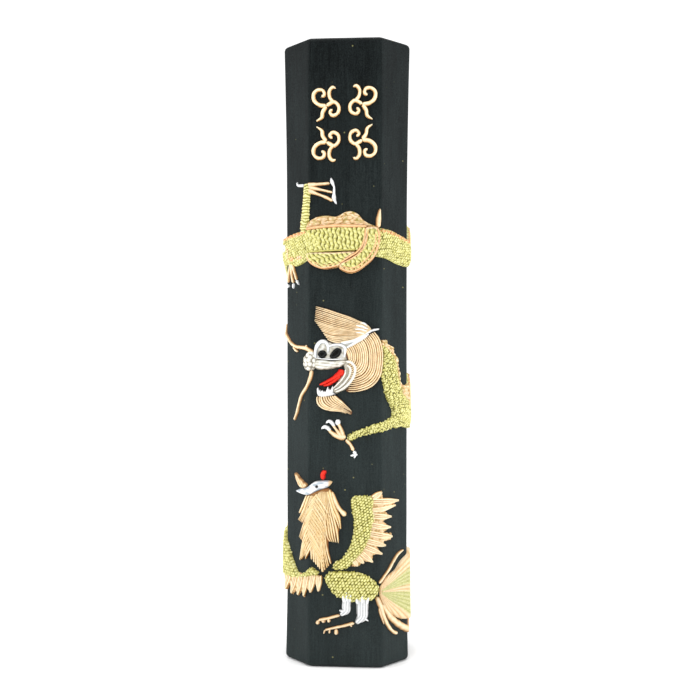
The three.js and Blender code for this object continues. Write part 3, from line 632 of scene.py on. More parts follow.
def ink_material():
    """Pressed ink: nearly black, dry, with fine streaks along the stick and a few pale specks, and painted
    lighter towards the bottom as light bounced up from the floor.
    """
    n = Nodes("ink")
    streaks = n.noise(n.stretched(1, 1, 0.06), 2600, 5.0, 0.65)
    broad = n.noise(n.stretched(1, 1, 0.25), 220, 3.0)
    grain = n.maths("ADD", n.span(streaks, 0.32, 0.7, 0.0, 0.2), n.span(broad, 0.3, 0.7, -0.08, 0.1))
    split = n.new("ShaderNodeSeparateXYZ")
    n.link(n.place, split.inputs["Vector"])
    grain = n.maths("ADD", grain, n.span(n.noise(n.place, 4200, 3.0), 0.35, 0.65, -0.12, 0.12))
    # Painted light: the ink is painted lighter towards the bottom, where light bounced up from the floor
    # falls.
    tone = n.maths("ADD", grain, n.span(split.outputs["Z"], 0.15, 0.06, 0.0, 0.4))
    base = n.ramp(tone, linear(2, 6, 7), linear(56, 65, 65))
    dots = n.new("ShaderNodeTexVoronoi")
    dots.inputs["Scale"].default_value = 420
    n.link(n.place, dots.inputs["Vector"])
    cell = n.new("ShaderNodeSeparateColor")
    n.link(dots.outputs["Color"], cell.inputs["Color"])
    speck = n.maths(
        "MULTIPLY",
        n.span(dots.outputs["Distance"], 0.1, 0.05, 0.0, 1.0),
        n.span(cell.outputs["Red"], 0.66, 0.68, 0.0, 1.0),
    )
    olive = n.ramp(grain, linear(116, 114, 74), linear(150, 146, 100))
    n.link(n.mixed("MIX", speck, base, olive), n.shader.inputs["Base Color"])
    n.link(n.span(streaks, 0.3, 0.7, 0.5, 0.66), n.shader.inputs["Roughness"])
    pits = n.noise(n.place, 3800, 3.0)
    n.link(n.bump(pits, 0.00006, 0.5, n.bump(streaks, 0.00006, 0.45)), n.shader.inputs["Normal"])
    n.shader.inputs["Specular IOR Level"].default_value = 0.09
    return n.material


MATERIALS = {
    "ink": ink_material(),
    "gold_green": paint_material("gold_green", 0.42, 0.14, 0.5, coat=0.15),
    "peach_gold": paint_material("peach_gold", 0.48, 0.12, 0.45),
    "pearl_white": paint_material("pearl_white", 0.36, 0.08, 0.35, coat=0.2),
    "vermilion": paint_material("vermilion", 0.4, 0.12, 0.3, gloss=0.2),
    "eye_black": paint_material("eye_black", 0.25, 0.12, 0.2, gloss=0.2),
}

BODY, HAIR_TOP, LIMB, THREAD = 1.1, 0.9, 0.8, 0.5  # heights over the ink, in millimetres


# ---- The bar of ink ----

POINTS_ROUND = 232
CAP_RINGS = np.array([0.97, 0.88, 0.7, 0.5, 0.3, 0.12])


def build_ink():
    """The eight-sided bar, with soft edges, rounded rims and the unevenness of pressed ink."""
    rim = RIM_RADIUS * (1 - np.cos(np.linspace(0, math.pi / 2, 7)))
    zs = np.concatenate([rim[:-1], np.linspace(RIM_RADIUS, LENGTH - RIM_RADIUS, 180), LENGTH - rim[-2::-1]])
    u, z = np.meshgrid(np.arange(POINTS_ROUND) * ROUND / POINTS_ROUND, zs, indexing="ij")
    reach = np.clip(RIM_RADIUS - np.minimum(z, LENGTH - z), 0, RIM_RADIUS)
    inset = RIM_RADIUS - np.sqrt(RIM_RADIUS**2 - reach**2)
    offsets = np.linspace(-EDGE_SOFTNESS, EDGE_SOFTNESS, 7)
    points = sum(fold(u + off, z, -inset) for off in offsets) / len(offsets)
    out = points * [1, 1, 0]
    out /= np.linalg.norm(out, axis=-1)[..., None]
    turn = 2 * math.pi * u / ROUND
    rough = np.sin(3 * turn + z / 17) + np.sin(5 * turn - z / 9) + np.sin(11 * turn + z / 5)
    points += out * ((0.015 * rough - 0.045) * MM)[..., None]
    index = np.arange(u.size).reshape(u.shape)
    ahead = np.roll(index, -1, 0)
    faces = [np.stack([index[:, :-1], ahead[:, :-1], ahead[:, 1:], index[:, 1:]], -1).reshape(-1, 4)]
    blocks = [points.reshape(-1, 3)]
    for level in (0, -1):
        edge = points[:, level]
        start = sum(map(len, blocks))
        shares = np.stack([CAP_RINGS, CAP_RINGS, 0 * CAP_RINGS + 1], -1)[:, None]
        blocks.append((edge[None] * shares).reshape(-1, 3))
        blocks.append(edge.mean(0)[None])
        ids = [start + i * POINTS_ROUND + np.arange(POINTS_ROUND) for i in range(len(CAP_RINGS))]
        ids.insert(0, index[:, level])
        for a, b in zip(ids, ids[1:]):
            faces.append(np.stack([a, np.roll(a, -1), np.roll(b, -1), b], -1))
        centre = np.full(POINTS_ROUND, start + len(CAP_RINGS) * POINTS_ROUND)
        faces.append(np.stack([ids[-1], np.roll(ids[-1], -1), centre], -1))
    build = Build()
    build.add(np.vstack(blocks), faces, np.zeros((sum(map(len, blocks)), 3)))
    build.piece("ink_body", "ink")


# ---- Cloud emblems ----

CLOUD = [
    [
        (-1.0, 1.6, 0.4), (-0.3, 2.1, 0.42), (-0.6, 3.1, 0.42), (-1.8, 3.3, 0.42), (-2.8, 2.4, 0.42),
        (-2.7, 0.8, 0.45), (-1.4, -0.3, 0.5), (0.2, -0.5, 0.5),
    ],
    [
        (1.6, -1.3, 0.35), (1.0, -2.0, 0.4), (1.7, -2.8, 0.42), (2.9, -2.2, 0.42), (3.1, -0.7, 0.42),
        (2.0, 0.4, 0.45), (0.2, -0.5, 0.5),
    ],
    [(2.4, 3.6, 0.2), (1.7, 3.9, 0.4), (0.9, 3.0, 0.42), (1.0, 1.4, 0.42), (1.9, 0.3, 0.4)],
    [(0.2, -0.6, 0.5), (-0.7, -2.0, 0.45), (-0.9, -3.2, 0.4), (-2.2, -4.2, 0.12)],
]
CLOUD_PLACES = {
    "emblem_cloud_upper_left": (-4.6, 134, 1, 1),
    "emblem_cloud_upper_right": (4.3, 134.3, -1, 1),
    "emblem_cloud_lower_left": (-4.6, 124.4, 1, -1),
    "emblem_cloud_lower_right": (4.3, 124.8, -1, -1),
}


def build_clouds():
    """Four generic cloud scrolls near the top of the front."""
    for node, (u, z, right, up) in CLOUD_PLACES.items():
        build = Build()
        for line in CLOUD:
            add_strand(build, [(u + right * a, z + up * b, half) for a, b, half in line], THREAD, CREAM)
        build.piece(node, "peach_gold")


def build_lines(node, slot, height, paint, *lines, white=()):
    """A piece made of strands only; those in white are painted white."""
    build = Build()
    for line in lines:
        add_strand(build, line, height, paint)
    for line in white:
        add_strand(build, line, height, WHITE, tone=(0.4, 1.0))
    build.piece(node, slot)


# ---- The dragon's head ----


def grooves(angle, pitch):
    """Parallel grooves across a patch: 0 in a groove and 1 between."""
    return lambda u, z: np.abs(np.sin(math.pi * (u * math.cos(angle) + z * math.sin(angle)) / pitch)) ** 0.5


def eye(u, z, depth):
    """A glossy black bead with a faint grey ring inside."""
    ring = blend(0.1, 0.0, np.abs(depth - 0.5))
    return 1 - 0.1 * ring, tint(BLACK, 0.3 + 1.2 * ring)


EYES = {
    "dragon_left_eye": [
        (-6.35, 74.4), (-5.95, 75.25), (-5.2, 75.55), (-4.4, 75.2), (-4.1, 74.4), (-5.2, 73.3),
    ],
    "dragon_right_eye": [
        (-3.6, 73.8), (-3.1, 75.1), (-1.8, 76.1), (-0.7, 75.5), (-1.1, 74.2), (-2.6, 73.3),
    ],
}


def build_eyes():
    for node, outline in EYES.items():
        shaped_piece(node, "eye_black", add_patch, outline, BODY, 0.45, eye, step=0.08)


SKULL_LINES = [
    [
        (-6.7, 73.5, 0.3), (-6.8, 75, 0.4), (-6.3, 76.7, 0.5), (-5.4, 77.5, 0.5), (-4.4, 77.3, 0.5),
        (-3.9, 76.2, 0.35), (-3.9, 74.9, 0.25),
    ],
    [
        (-3.8, 76.3, 0.3), (-2.6, 76.7, 0.35), (-1, 76.7, 0.4), (0, 76, 0.4), (0, 74.8, 0.35),
        (-0.2, 73.7, 0.3),
    ],
    [(-0.6, 77, 0.25), (1.2, 77.4, 0.35), (3.4, 78.2, 0.35), (5.6, 79.3, 0.2)],
    [(0.4, 76, 0.25), (1.8, 76.9, 0.4), (3.6, 77.9, 0.35), (5.2, 78.9, 0.2)],
    [(-6.4, 73.6, 0.2), (-4.6, 73.4, 0.22), (-3.2, 73.3, 0.2), (-0.6, 73.4, 0.2)],
]
JAW_LINES = [
    [
        (0.2, 72.8, 0.3), (1.5, 72.5, 0.4), (2.3, 71.4, 0.4), (2.2, 69.8, 0.4), (1.2, 67.9, 0.4),
        (-0.4, 66.4, 0.35), (-2.2, 65.5, 0.25),
    ],
    [
        (0.4, 71.9, 0.3), (1.2, 71.3, 0.35), (1.2, 70, 0.35), (0.3, 68.3, 0.3), (-1.2, 66.7, 0.3),
        (-2.5, 66, 0.2),
    ],
    [(0.1, 71, 0.2), (0.1, 70, 0.25), (-0.8, 68.4, 0.25), (-2, 67.1, 0.2), (-2.8, 66.3, 0.15)],
]
TEETH = [
    [(-6.1, 64.9, 0.35), (-6.25, 65.8, 0.3), (-6.35, 66.6, 0.1)],
    [(-5.3, 64.8, 0.3), (-5.3, 65.5, 0.25), (-5.2, 66, 0.1)],
    [(-4.3, 64.8, 0.35), (-4.1, 65.8, 0.3), (-3.9, 66.8, 0.1)],
    [(-3.3, 64.9, 0.35), (-3, 66, 0.3), (-2.8, 67, 0.1)],
]


def build_skull():
    """Nose, muzzle, skull, cheek and jaw, all white."""
    nose = [
        (-7.1, 74.9), (-8.4, 75.2), (-9.4, 74.6), (-10.2, 73.8), (-10.5, 72.8), (-10, 71.2), (-9.1, 70.6),
        (-8, 70.6), (-7.2, 71.1), (-6.8, 72), (-6.8, 73.5),
    ]
    shaped_piece("dragon_nose", "pearl_white", add_patch, nose, LIMB, 0.7, bumpy_white, step=0.1)

    muzzle = [
        (-6.8, 73.1), (-5, 73.3), (-3, 73), (-1, 73.2), (0.4, 72.9), (-0.4, 71.8), (-2, 71.3), (-4, 70.9),
        (-6, 70.8), (-7, 71.2),
    ]
    shaped_piece(
        "dragon_muzzle", "pearl_white", add_patch, muzzle, 0.7, 0.6,
        plain(BONE, 0.95, grooves(1.45, 0.72), mottle=0.2),
    )

    skull = [
        (-7, 73.3), (-7, 75), (-6.6, 76.6), (-5.8, 77.8), (-4.8, 78), (-3.4, 77.4), (-2, 76.8), (0, 77.3),
        (2, 77.7), (4.6, 78.9), (5.4, 79), (3.4, 77.3), (1.4, 76.3), (0.1, 75), (0.6, 73.2), (-1, 73),
        (-4, 73.2),
    ]
    shaped_piece(
        "dragon_skull", "pearl_white", add_patch, skull, 0.5, 0.4, plain(BONE, 0.75, mottle=0.3),
        over=[(SKULL_LINES, 0.4, WHITE, 0.45, (0.15, 1.0))],
    )

    cheek = [
        (0.1, 73.1), (1.6, 72.9), (2.7, 71.8), (2.8, 70.2), (2, 68.2), (0.8, 66.6), (-0.6, 65.8),
        (-2.2, 65.2), (-3, 65.8), (-2.2, 67.4), (-1, 69.2), (0, 70.4), (-0.4, 72),
    ]
    shaped_piece(
        "dragon_cheek", "pearl_white", add_patch, cheek, 0.45, 0.4, plain(BONE, 0.5),
        over=[(JAW_LINES, 0.5, BONE, 0.35, (0.2, 1.0))],
    )

    jaw = [
        (-6.5, 64.7), (-6.4, 66.4), (-5.5, 65.8), (-4.4, 65.8), (-4, 66.5), (-3.4, 66.2), (-2.7, 66.8),
        (-2.9, 65.7), (-2.2, 65.1), (-3, 64.6), (-4.4, 64.3), (-5.6, 64.2),
    ]
    shaped_piece(
        "dragon_lower_jaw", "pearl_white", add_patch, jaw, 0.6, 0.35, plain(WHITE, 0.9),
        over=[(TEETH, 0.35, WHITE, 0.4, (0.2, 1.0))], smooth=False, step=0.09,
    )


def build_face_lines():
    """Tongue, horn and whiskers."""
    tongue = [
        (-0.4, 70.8, 0.75), (-0.9, 70.1, 0.95), (-1.9, 69.3, 0.7), (-3.4, 68.4, 0.5), (-4.9, 67.6, 0.42),
        (-6, 67.2, 0.2),
    ]
    fold_under = [(-1, 69.3, 0.4), (-2.6, 68.1, 0.4), (-4, 67.3, 0.35), (-5.1, 67, 0.2)]
    build_lines("dragon_tongue", "vermilion", LIMB, RED, tongue, fold_under)
    horn = [(-1, 77.2, 0.3), (2, 77.9, 0.35), (4, 78.9, 0.4), (6, 80, 0.35), (8, 80.5, 0.2)]
    build_lines("dragon_horn", "pearl_white", HAIR_TOP, WHITE, horn)
    upper = [
        (-7.4, 74.8, 0.5), (-9.2, 75.8, 0.55), (-11, 76.1, 0.45), (-13.2, 76.3, 0.45), (-15, 77, 0.4),
        (-17.2, 79.2, 0.35), (-19.4, 82, 0.15),
    ]
    branch = [(-14.4, 76.3, 0.35), (-13.2, 75.3, 0.3), (-12.5, 75.2, 0.2)]
    bump = [(-9.6, 76.2, 0.4), (-9.2, 76.6, 0.4)]
    build_lines("dragon_upper_whisker", "peach_gold", THREAD, PEACH, upper, branch, bump)
    lower = [
        (-7.9, 70.7, 0.42), (-8.2, 69, 0.45), (-9.2, 66.9, 0.45), (-11.2, 64.7, 0.45),
        (-12.3, 62.3, 0.45), (-13, 60.4, 0.4), (-14, 58.5, 0.3),
    ]
    build_lines("dragon_lower_whisker", "peach_gold", THREAD, PEACH, lower)


WHITE_HAIRS = [
    [(5.3, 81, 0.15), (4.4, 81.7, 0.3), (3.3, 81.9, 0.15)],
    [(5.4, 80.4, 0.2), (4, 81, 0.35), (2.5, 81.3, 0.15)],
    [(5.2, 79.9, 0.2), (3.8, 80.3, 0.35), (2.2, 80.5, 0.15)],
    [(4.6, 79.3, 0.15), (3.4, 79.6, 0.3), (2.3, 79.6, 0.12)],
]


def build_hair():
    """Crest, mane and beard: a brown ground, painted dark as the shade between the strands, with strands
    laid over it.
    """
    # The ground is painted in the darkest browns, as the shade between the strands.
    ground = plain(HAIR, 0.15)
    build = Build()
    crest = [
        (-6.6, 85.2), (-7, 84.4), (-6.8, 82.8), (-5.8, 80.9), (-4.2, 79), (-3, 78), (-1.2, 77.8), (0, 78),
        (2.4, 78.4), (4.4, 79.4), (6, 80.1), (5, 81.4), (3.4, 82.1), (-1, 83.7), (-4.6, 84.8),
    ]
    add_patch(build, crest, 0.4, 0.4, ground)
    top = [(6.1, 80.3), (5, 81.5), (3.4, 82.2), (1.2, 83.2), (-1.4, 84.1), (-4.6, 85.2), (-7.4, 86)]
    middle = [(5.6, 79.9), (4, 79.9), (2, 80), (-0.6, 80.5), (-3, 81.1), (-5.4, 81.9), (-7.6, 82.7)]
    bottom = [(5, 79.4), (3.4, 78.5), (1.6, 77.9), (0, 77.6), (-1.5, 77.3), (-3, 77.6), (-4.5, 78.3)]
    add_strands(build, top, middle, 9, 0.5, HAIR, lift=0.4, ragged=0.03, seed=4)
    add_strands(build, middle, bottom, 10, 0.5, HAIR, lift=0.4, ragged=0.03, seed=14)
    for rows in WHITE_HAIRS:
        add_strand(build, rows, 0.35, WHITE, lift=0.54, tone=(0.45, 1.0))
    build.piece("dragon_crest", "peach_gold")

    build = Build()
    mane = [
        (6.4, 79.7), (7.5, 78.5), (8.2, 76), (8.4, 73), (8.1, 70), (7, 67.9), (5, 66.6), (2.6, 65.8),
        (0.6, 65.6), (0.2, 66), (1.6, 67.2), (2.6, 69.6), (2.6, 72), (0.7, 73.1), (0.1, 74.2),
        (0.1, 75.2), (1.4, 76.2), (3.5, 77.4), (5.3, 78.8),
    ]
    add_patch(build, mane, 0.35, 0.4, ground)
    inner = [(-0.3, 75.7), (0.3, 75.2), (0.7, 74.6), (0.9, 73.9), (0.8, 73.2)]
    outer = [
        (6.6, 79.8), (7.9, 77.8), (8.5, 75.3), (8.5, 72), (7.8, 69), (5.9, 66.9), (2.6, 65.8),
        (-0.2, 65.7),
    ]
    add_strands(build, inner, outer, 18, 0.4, HAIR, lift=0.35, fill=0.55, seed=5)
    build.piece("dragon_mane", "peach_gold")

    build = Build()
    beard = [
        (-6.3, 64.5), (-6.4, 63), (-5.4, 61.9), (-4, 61.4), (-2.2, 61.3), (-0.4, 61), (1.4, 60.2),
        (1.6, 60.8), (0.2, 62.4), (-1.4, 63.5), (-2.4, 64.5), (-4, 64.4),
    ]
    add_patch(build, beard, 0.4, 0.4, ground)
    low = [(-6.4, 64.5), (-6.3, 63), (-5.2, 61.8), (-3.2, 61.2), (-0.8, 60.9), (1.6, 59.9)]
    high = [(-2.5, 64.7), (-1.8, 64), (-0.9, 63.3), (0, 62.5), (0.9, 61.7), (1.7, 60.8)]
    add_strands(build, low, high, 9, 0.45, HAIR, lift=0.4, ragged=0.3, seed=6)
    build.piece("dragon_beard", "peach_gold")


# ---- The dragon's front: neck, foreleg and forefoot ----


def build_neck():
    neck = [
        (8.6, 77), (8.8, 75), (8.8, 72), (8.5, 69.6), (9.2, 66.6), (10, 64.2), (11.3, 62.2), (11.9, 60.6),
        (11.7, 59), (12.6, 56.9), (15, 57), (17.4, 56.6), (17.6, 59.6), (17.4, 63.2), (15.2, 65.4),
        (14, 69), (13.3, 72.6), (12, 74.6), (10.4, 76),
    ]
    shaped_piece(
        "dragon_neck", "gold_green", add_patch, neck, BODY, 1.2,
        knobs((0.58, 0.52), 0.38, seed=7, floor=0.14, stray=0.8), ragged=0.2,
    )

    fin = [
        (8.5, 76.6), (8.6, 77.8), (10.2, 77.9), (10.4, 77), (12.4, 76.2), (12.4, 75), (13.8, 73.5),
        (13.8, 71.8), (14.4, 70), (14.5, 68), (15.1, 67.3), (16.2, 66.9), (17.5, 67.4), (17.5, 63.2),
        (16.3, 63.5), (15.1, 64.8), (14, 67), (13.4, 69.6), (12.9, 72.4), (11.7, 74.2), (10.2, 75.6),
    ]
    shaped_piece("dragon_neck_fin", "peach_gold", add_patch, fin, HAIR_TOP, 0.5, mottled, smooth=False)

    foreleg = [
        (13, 58.6, 1.4), (10, 57.5, 1.2), (7.5, 57, 1.1), (5, 56.2, 0.9), (3, 55.6, 0.8),
        (1.4, 54.8, 0.9),
    ]
    shaped_piece(
        "dragon_foreleg", "gold_green", add_limb, foreleg, LIMB,
        knobs((0.52, 0.48), 0.34, turn=1.2, seed=9, floor=0.18), ragged=0.2,
    )

    toes = [
        [(0.2, 54.9, 0.9), (-1.6, 55, 0.7), (-3.2, 55.9, 0.45), (-4, 56.7, 0.35)],
        [(-1, 55.2, 0.6), (-2.3, 56.9, 0.35), (-3, 57.9, 0.3)],
        [(-0.4, 55.2, 0.6), (-1.2, 57.2, 0.4), (-1.7, 58.2, 0.4)],
        [(0.2, 54.3, 0.5), (1.3, 53, 0.4), (2, 51.6, 0.4)],
    ]
    claws = [
        [(-3.4, 56.2, 0.4), (-4.3, 57.1, 0.5), (-5, 57.2, 0.4), (-5.6, 56.7, 0.15)],
        [(-2.5, 57.2, 0.35), (-3.2, 58.3, 0.45), (-3.9, 58.6, 0.4), (-4.5, 58.1, 0.15)],
        [(-1.5, 57.6, 0.4), (-1.8, 58.5, 0.7), (-2.1, 58.9, 0.8)],
        [(2, 51.6, 0.4), (2.4, 50.8, 0.4), (2.2, 49.8, 0.15)],
        [(1.2, 50.4, 0.15), (2.2, 50.6, 0.35), (3, 50.7, 0.15)],
    ]
    build_lines("dragon_forefoot", "peach_gold", THREAD, PEACH, *toes, white=claws)


# ---- The coil above the head ----


COIL_SEAM = [[(-8.9, 98.7, 0.2), (-5, 99, 0.25), (0, 99.2, 0.25), (2.6, 99.3, 0.15)]]
COIL_PIPING = [
    [
        (-9, 104.1, 0.3), (-7.5, 104.4, 0.4), (-5, 104.7, 0.42), (-2, 104.9, 0.42), (2, 104.8, 0.4),
        (5, 104.7, 0.3),
    ],
]
BELLY_PIPING = [
    [
        (-8.8, 97.6, 0.2), (-8.2, 96.6, 0.28), (-7, 95.6, 0.3), (-5, 95, 0.3), (-3, 95.2, 0.3),
        (-1.6, 95.6, 0.2),
    ],
    [(-8.2, 97.3, 0.15), (-6.8, 96.2, 0.2), (-5, 95.6, 0.2), (-3, 95.8, 0.2), (-1, 96.4, 0.15)],
]
LOOP_PIPING = [
    [
        (-1.3, 95.1, 0.25), (0, 94.4, 0.3), (1.5, 94.1, 0.32), (2.9, 94.5, 0.32), (4.8, 95.9, 0.32),
        (6.3, 97.3, 0.32), (7.2, 99.1, 0.32), (7.7, 101, 0.32), (7.8, 102.8, 0.3), (7.3, 104.3, 0.2),
    ],
    [
        (-0.6, 95.3, 0.15), (1.4, 94.8, 0.2), (3, 95.4, 0.22), (4.6, 96.7, 0.22), (6, 98.4, 0.22),
        (6.9, 100.6, 0.22), (7, 103.2, 0.15),
    ],
    [
        (-1.2, 96.1, 0.2), (0.8, 97.4, 0.25), (2.8, 98.7, 0.25), (4, 100.4, 0.25), (4.5, 102.4, 0.22),
        (4.7, 104.2, 0.15),
    ],
    [
        (-0.2, 96.1, 0.12), (1.6, 97.2, 0.16), (3.4, 98.5, 0.18), (4.6, 100.2, 0.18), (5.1, 102.2, 0.16),
        (5.3, 104, 0.1),
    ],
]


def build_coil():
    field = [
        (-9, 98.6), (-9.1, 101.4), (-9.1, 104.2), (-5, 104.8), (0, 104.9), (5, 104.9), (5, 102),
        (4.4, 100.4), (3.4, 99), (-3, 98.9),
    ]
    shaped_piece(
        "dragon_coil", "gold_green", add_patch, field, BODY, 0.6,
        rows_of_scales(0.12, 0.95, 0.45, seed=2),
        over=[(COIL_SEAM, 0.3, GREEN, 0.7, (0, 0.75)), (COIL_PIPING, 0.34, ORANGE, 0.8, (0.0, 1.0))],
        smooth=False,
    )

    belly = [
        (-9, 98.5), (-9, 97.4), (-8.4, 96.4), (-7, 95.3), (-5, 94.7), (-3, 94.9), (-1.4, 95.3),
        (0.8, 97.2), (2.6, 98.7), (-3, 98.8),
    ]
    shaped_piece(
        "dragon_coil_belly", "gold_green", add_patch, belly, BODY, 0.6,
        rows_of_scales(0.75, 0.95, 0.4, seed=3, rim=0.6),
        over=[(BELLY_PIPING, 0.45, ORANGE, 0.55, (0.0, 1.0))],
    )

    loop = [
        (-1.5, 95.1), (0, 94), (1.5, 93.7), (3, 94.1), (5, 95.5), (6.6, 97), (7.6, 99), (8.1, 101),
        (8.2, 103), (7.6, 104.6), (5.6, 104.8), (4.4, 104.4), (4.3, 102.4), (3.8, 100.3), (2.6, 98.5),
        (0.6, 97.2), (-1.2, 96.2),
    ]
    shaped_piece(
        "dragon_loop", "gold_green", add_patch, loop, BODY, 0.7,
        rows_of_scales(0.35, 0.95, 0.4, seed=4, rim=0.75),
        over=[(LOOP_PIPING, 0.38, ORANGE, 0.75, (0.0, 1.0))],
    )

    fin = [
        (-9.2, 104.4), (-8.4, 106), (-6.6, 107.1), (-4.5, 107.4), (-2, 107.2), (0, 108.2), (1.4, 108.4),
        (3.1, 107.7), (4.2, 106.4), (6.2, 105.2), (7.3, 104.8), (4, 104.9), (0, 104.9), (-5, 104.8),
    ]
    shaped_piece("dragon_coil_fin", "peach_gold", add_patch, fin, HAIR_TOP, 0.5, mottled)
    spike = [(7.8, 104.4, 0.5), (7.85, 106, 0.6), (8, 107.5, 0.45), (8.15, 108.9, 0.1)]
    build_lines("dragon_tail_spike", "peach_gold", HAIR_TOP, PEACH, spike)


def build_hind_legs():
    leg = [(-10.3, 104.8, 1.4), (-10, 106.8, 1.35), (-9.7, 109.4, 1.2), (-9.4, 112, 1.1), (-9.3, 114.2, 1)]
    shaped_piece("dragon_hind_leg", "gold_green", add_limb, leg, LIMB, rings(0.7), ragged=0.15)
    toes = [
        [(-9, 114.7, 0.7), (-6, 114.9, 0.4), (-3.6, 115.1, 0.4)],
        [(-8.9, 114.3, 0.6), (-5.4, 113.5, 0.32), (-2.9, 112.9, 0.32)],
        [(-8.9, 113.6, 0.8), (-6.6, 112.6, 0.4), (-4.6, 111.8, 0.38), (-2.9, 110.9, 0.4)],
    ]
    build_lines("dragon_hind_toes", "peach_gold", THREAD, PEACH, *toes)
    claws = [
        (-3.3, 116.4, 0.1), (-3.1, 115.4, 0.45), (-2.6, 114.2, 0.25), (-2.6, 113, 0.35),
        (-2.6, 111.4, 0.5), (-2, 110.1, 0.2),
    ]
    build_lines("dragon_hind_claws", "pearl_white", THREAD, WHITE, claws)
    rear = [(-10.2, 114.8, 0.45), (-11.6, 115, 0.35), (-12.5, 115.2, 0.35), (-12.7, 116, 0.15)]
    build_lines("dragon_hind_rear_toe", "pearl_white", THREAD, WHITE, rear)
    foot = [
        [(-15.2, 97, 0.6), (-16.1, 94.2, 0.4), (-16.4, 92, 0.4)],
        [(-15.2, 97, 0.6), (-14.9, 93.4, 0.35), (-14.4, 91.8, 0.4)],
        [(-15, 96.6, 0.6), (-13.7, 93.8, 0.35), (-13.1, 92.4, 0.4)],
    ]
    claws = [
        [(-16.5, 91.6, 0.5), (-16.6, 90.8, 0.65)],
        [(-14.4, 91.7, 0.4), (-14.3, 90.4, 0.2)],
        [(-13.2, 92.4, 0.4), (-12.2, 91.2, 0.2)],
    ]
    build_lines("dragon_left_foot", "peach_gold", THREAD, PEACH, *foot, white=claws)


# ---- The dragon round the sides and the back ----

TRUNK = [
    (17.6, 59.8, 3.2), (24, 62, 3.4), (31, 66.6, 3.5), (38, 73, 3.5), (45, 79.6, 3.5), (53, 86.2, 3.4),
    (61, 91.8, 3.4), (69, 96.6, 3.3), (75.5, 99.6, 3.4), (79.4, 99.8, 4), (83.4, 100.6, 3.6),
]
TAIL = [
    (8.4, 100.9, 3.4), (11, 100.6, 3.5), (14, 99.7, 3.5), (17.4, 99, 3.3), (22, 99.8, 3.1),
    (27, 102.4, 2.8), (32, 106.6, 2.4), (36.6, 111.8, 2), (40.6, 118, 1.5), (43.6, 125, 1),
]


FIN_HALF = 0.7  # half the width of a fin
FIN_POINTS = 40


def back_edge(rows):
    """The upper edge of a limb, as the rows of a fin."""
    line = spline(rows, FIN_POINTS)
    way = np.gradient(line[:, :2], axis=0)
    way /= np.linalg.norm(way, axis=1)[:, None]
    off = line[:, 2] - FIN_HALF
    u, z = line[:, 0] - way[:, 1] * off, line[:, 1] + way[:, 0] * off
    return np.column_stack([u, z, np.full(FIN_POINTS, FIN_HALF)])[::3]


def serrated(s, t, depth):
    """A fin in peach with a saw edge of small leaves, each painted lighter where it stands higher, with
    painted shade at its foot.
    """
    tooth = 1 - np.mod(s / TOOTH_PITCH, 1)
    colours = tint(ORANGE, 0.35 + 0.6 * tooth * blend(0, 0.4, depth))
    return 0.7 + 0.3 * tooth, mix(colours, OLIVE, 0.3 * blend(0.4, 0.9, noise(s, t, 14)))


TRUNK_GRAIN = knobs((0.72, 0.5), 0.36, turn=1.15, seed=15, floor=0.16, stray=0.5)
# Spots of other paints where the trunk comes round on the left: u, z, their two radii, paint.
SPOTS = {
    "dragon_trunk": [
        (-16.9, 100.3, 0.75, 1.0, WHITE), (-15.6, 98.8, 0.35, 2.0, PEACH),
        (-14.2, 97.5, 0.8, 0.6, ORANGE), (-11.6, 97.6, 1.2, 0.5, PEACH), (-12.6, 103.2, 1.6, 0.5, PEACH),
    ],
}


def build_back():
    """Trunk and tail with their fins, the tuft, and the leg and foot on the back."""
    for node, rows in (("dragon_trunk", TRUNK), ("dragon_tail", TAIL)):
        spots = SPOTS.get(node, ())
        shaped_piece(node, "gold_green", add_limb, rows, BODY, TRUNK_GRAIN, step=0.13, spots=spots)
        fin = back_edge(rows)
        shaped_piece(node + "_fin", "peach_gold", add_limb, fin, HAIR_TOP, serrated, step=0.12, teeth=0.55)
    build = Build()
    tufts = [
        (
            [(43.4, 125.6), (45, 129.6), (46, 133.6), (48, 138)],
            [(44.4, 125.4), (46.8, 129), (47.4, 133), (48.2, 138)],
        ),
        (
            [(43, 125.6), (41.2, 130), (41.6, 134), (41.4, 137.6)],
            [(44, 125.4), (43.4, 130), (43.4, 134), (41.8, 137.6)],
        ),
        (
            [(44, 125.6), (47, 128), (49.6, 131), (51.4, 134)],
            [(44.2, 124.6), (47.8, 126.6), (50.6, 130), (51.8, 134)],
        ),
    ]
    for seed, (first, last) in enumerate(tufts):
        add_strands(build, first, last, 4, HAIR_TOP, HAIR, seed=20 + seed)
    build.piece("dragon_tail_tuft", "peach_gold")
    leg = [(47.6, 80.4, 1.7), (50.6, 77, 1.5), (52.2, 73.4, 1.2), (51.4, 70, 1), (50.7, 67.6, 0.9)]
    shaped_piece("dragon_back_leg", "gold_green", add_limb, leg, LIMB, rings(0.65))
    toes = [
        [(50.4, 66.8, 0.8), (48.4, 65.2, 0.4), (46.8, 64.8, 0.3)],
        [(50.4, 66.8, 0.8), (49, 63.8, 0.4), (47.9, 62.2, 0.3)],
        [(50.6, 66.6, 0.8), (50.8, 63.4, 0.4), (50.5, 61.6, 0.3)],
        [(51, 67, 0.7), (52.6, 66.6, 0.4)],
    ]
    claws = [
        [(46.9, 64.8, 0.35), (45.8, 63.8, 0.15)],
        [(47.9, 62.3, 0.35), (47.8, 60.8, 0.15)],
        [(50.5, 61.7, 0.35), (51, 60.2, 0.15)],
        [(52.5, 66.6, 0.35), (53.8, 67.4, 0.15)],
    ]
    build_lines("dragon_back_foot", "peach_gold", THREAD, PEACH, *toes, white=claws)


# ---- The phoenix ----


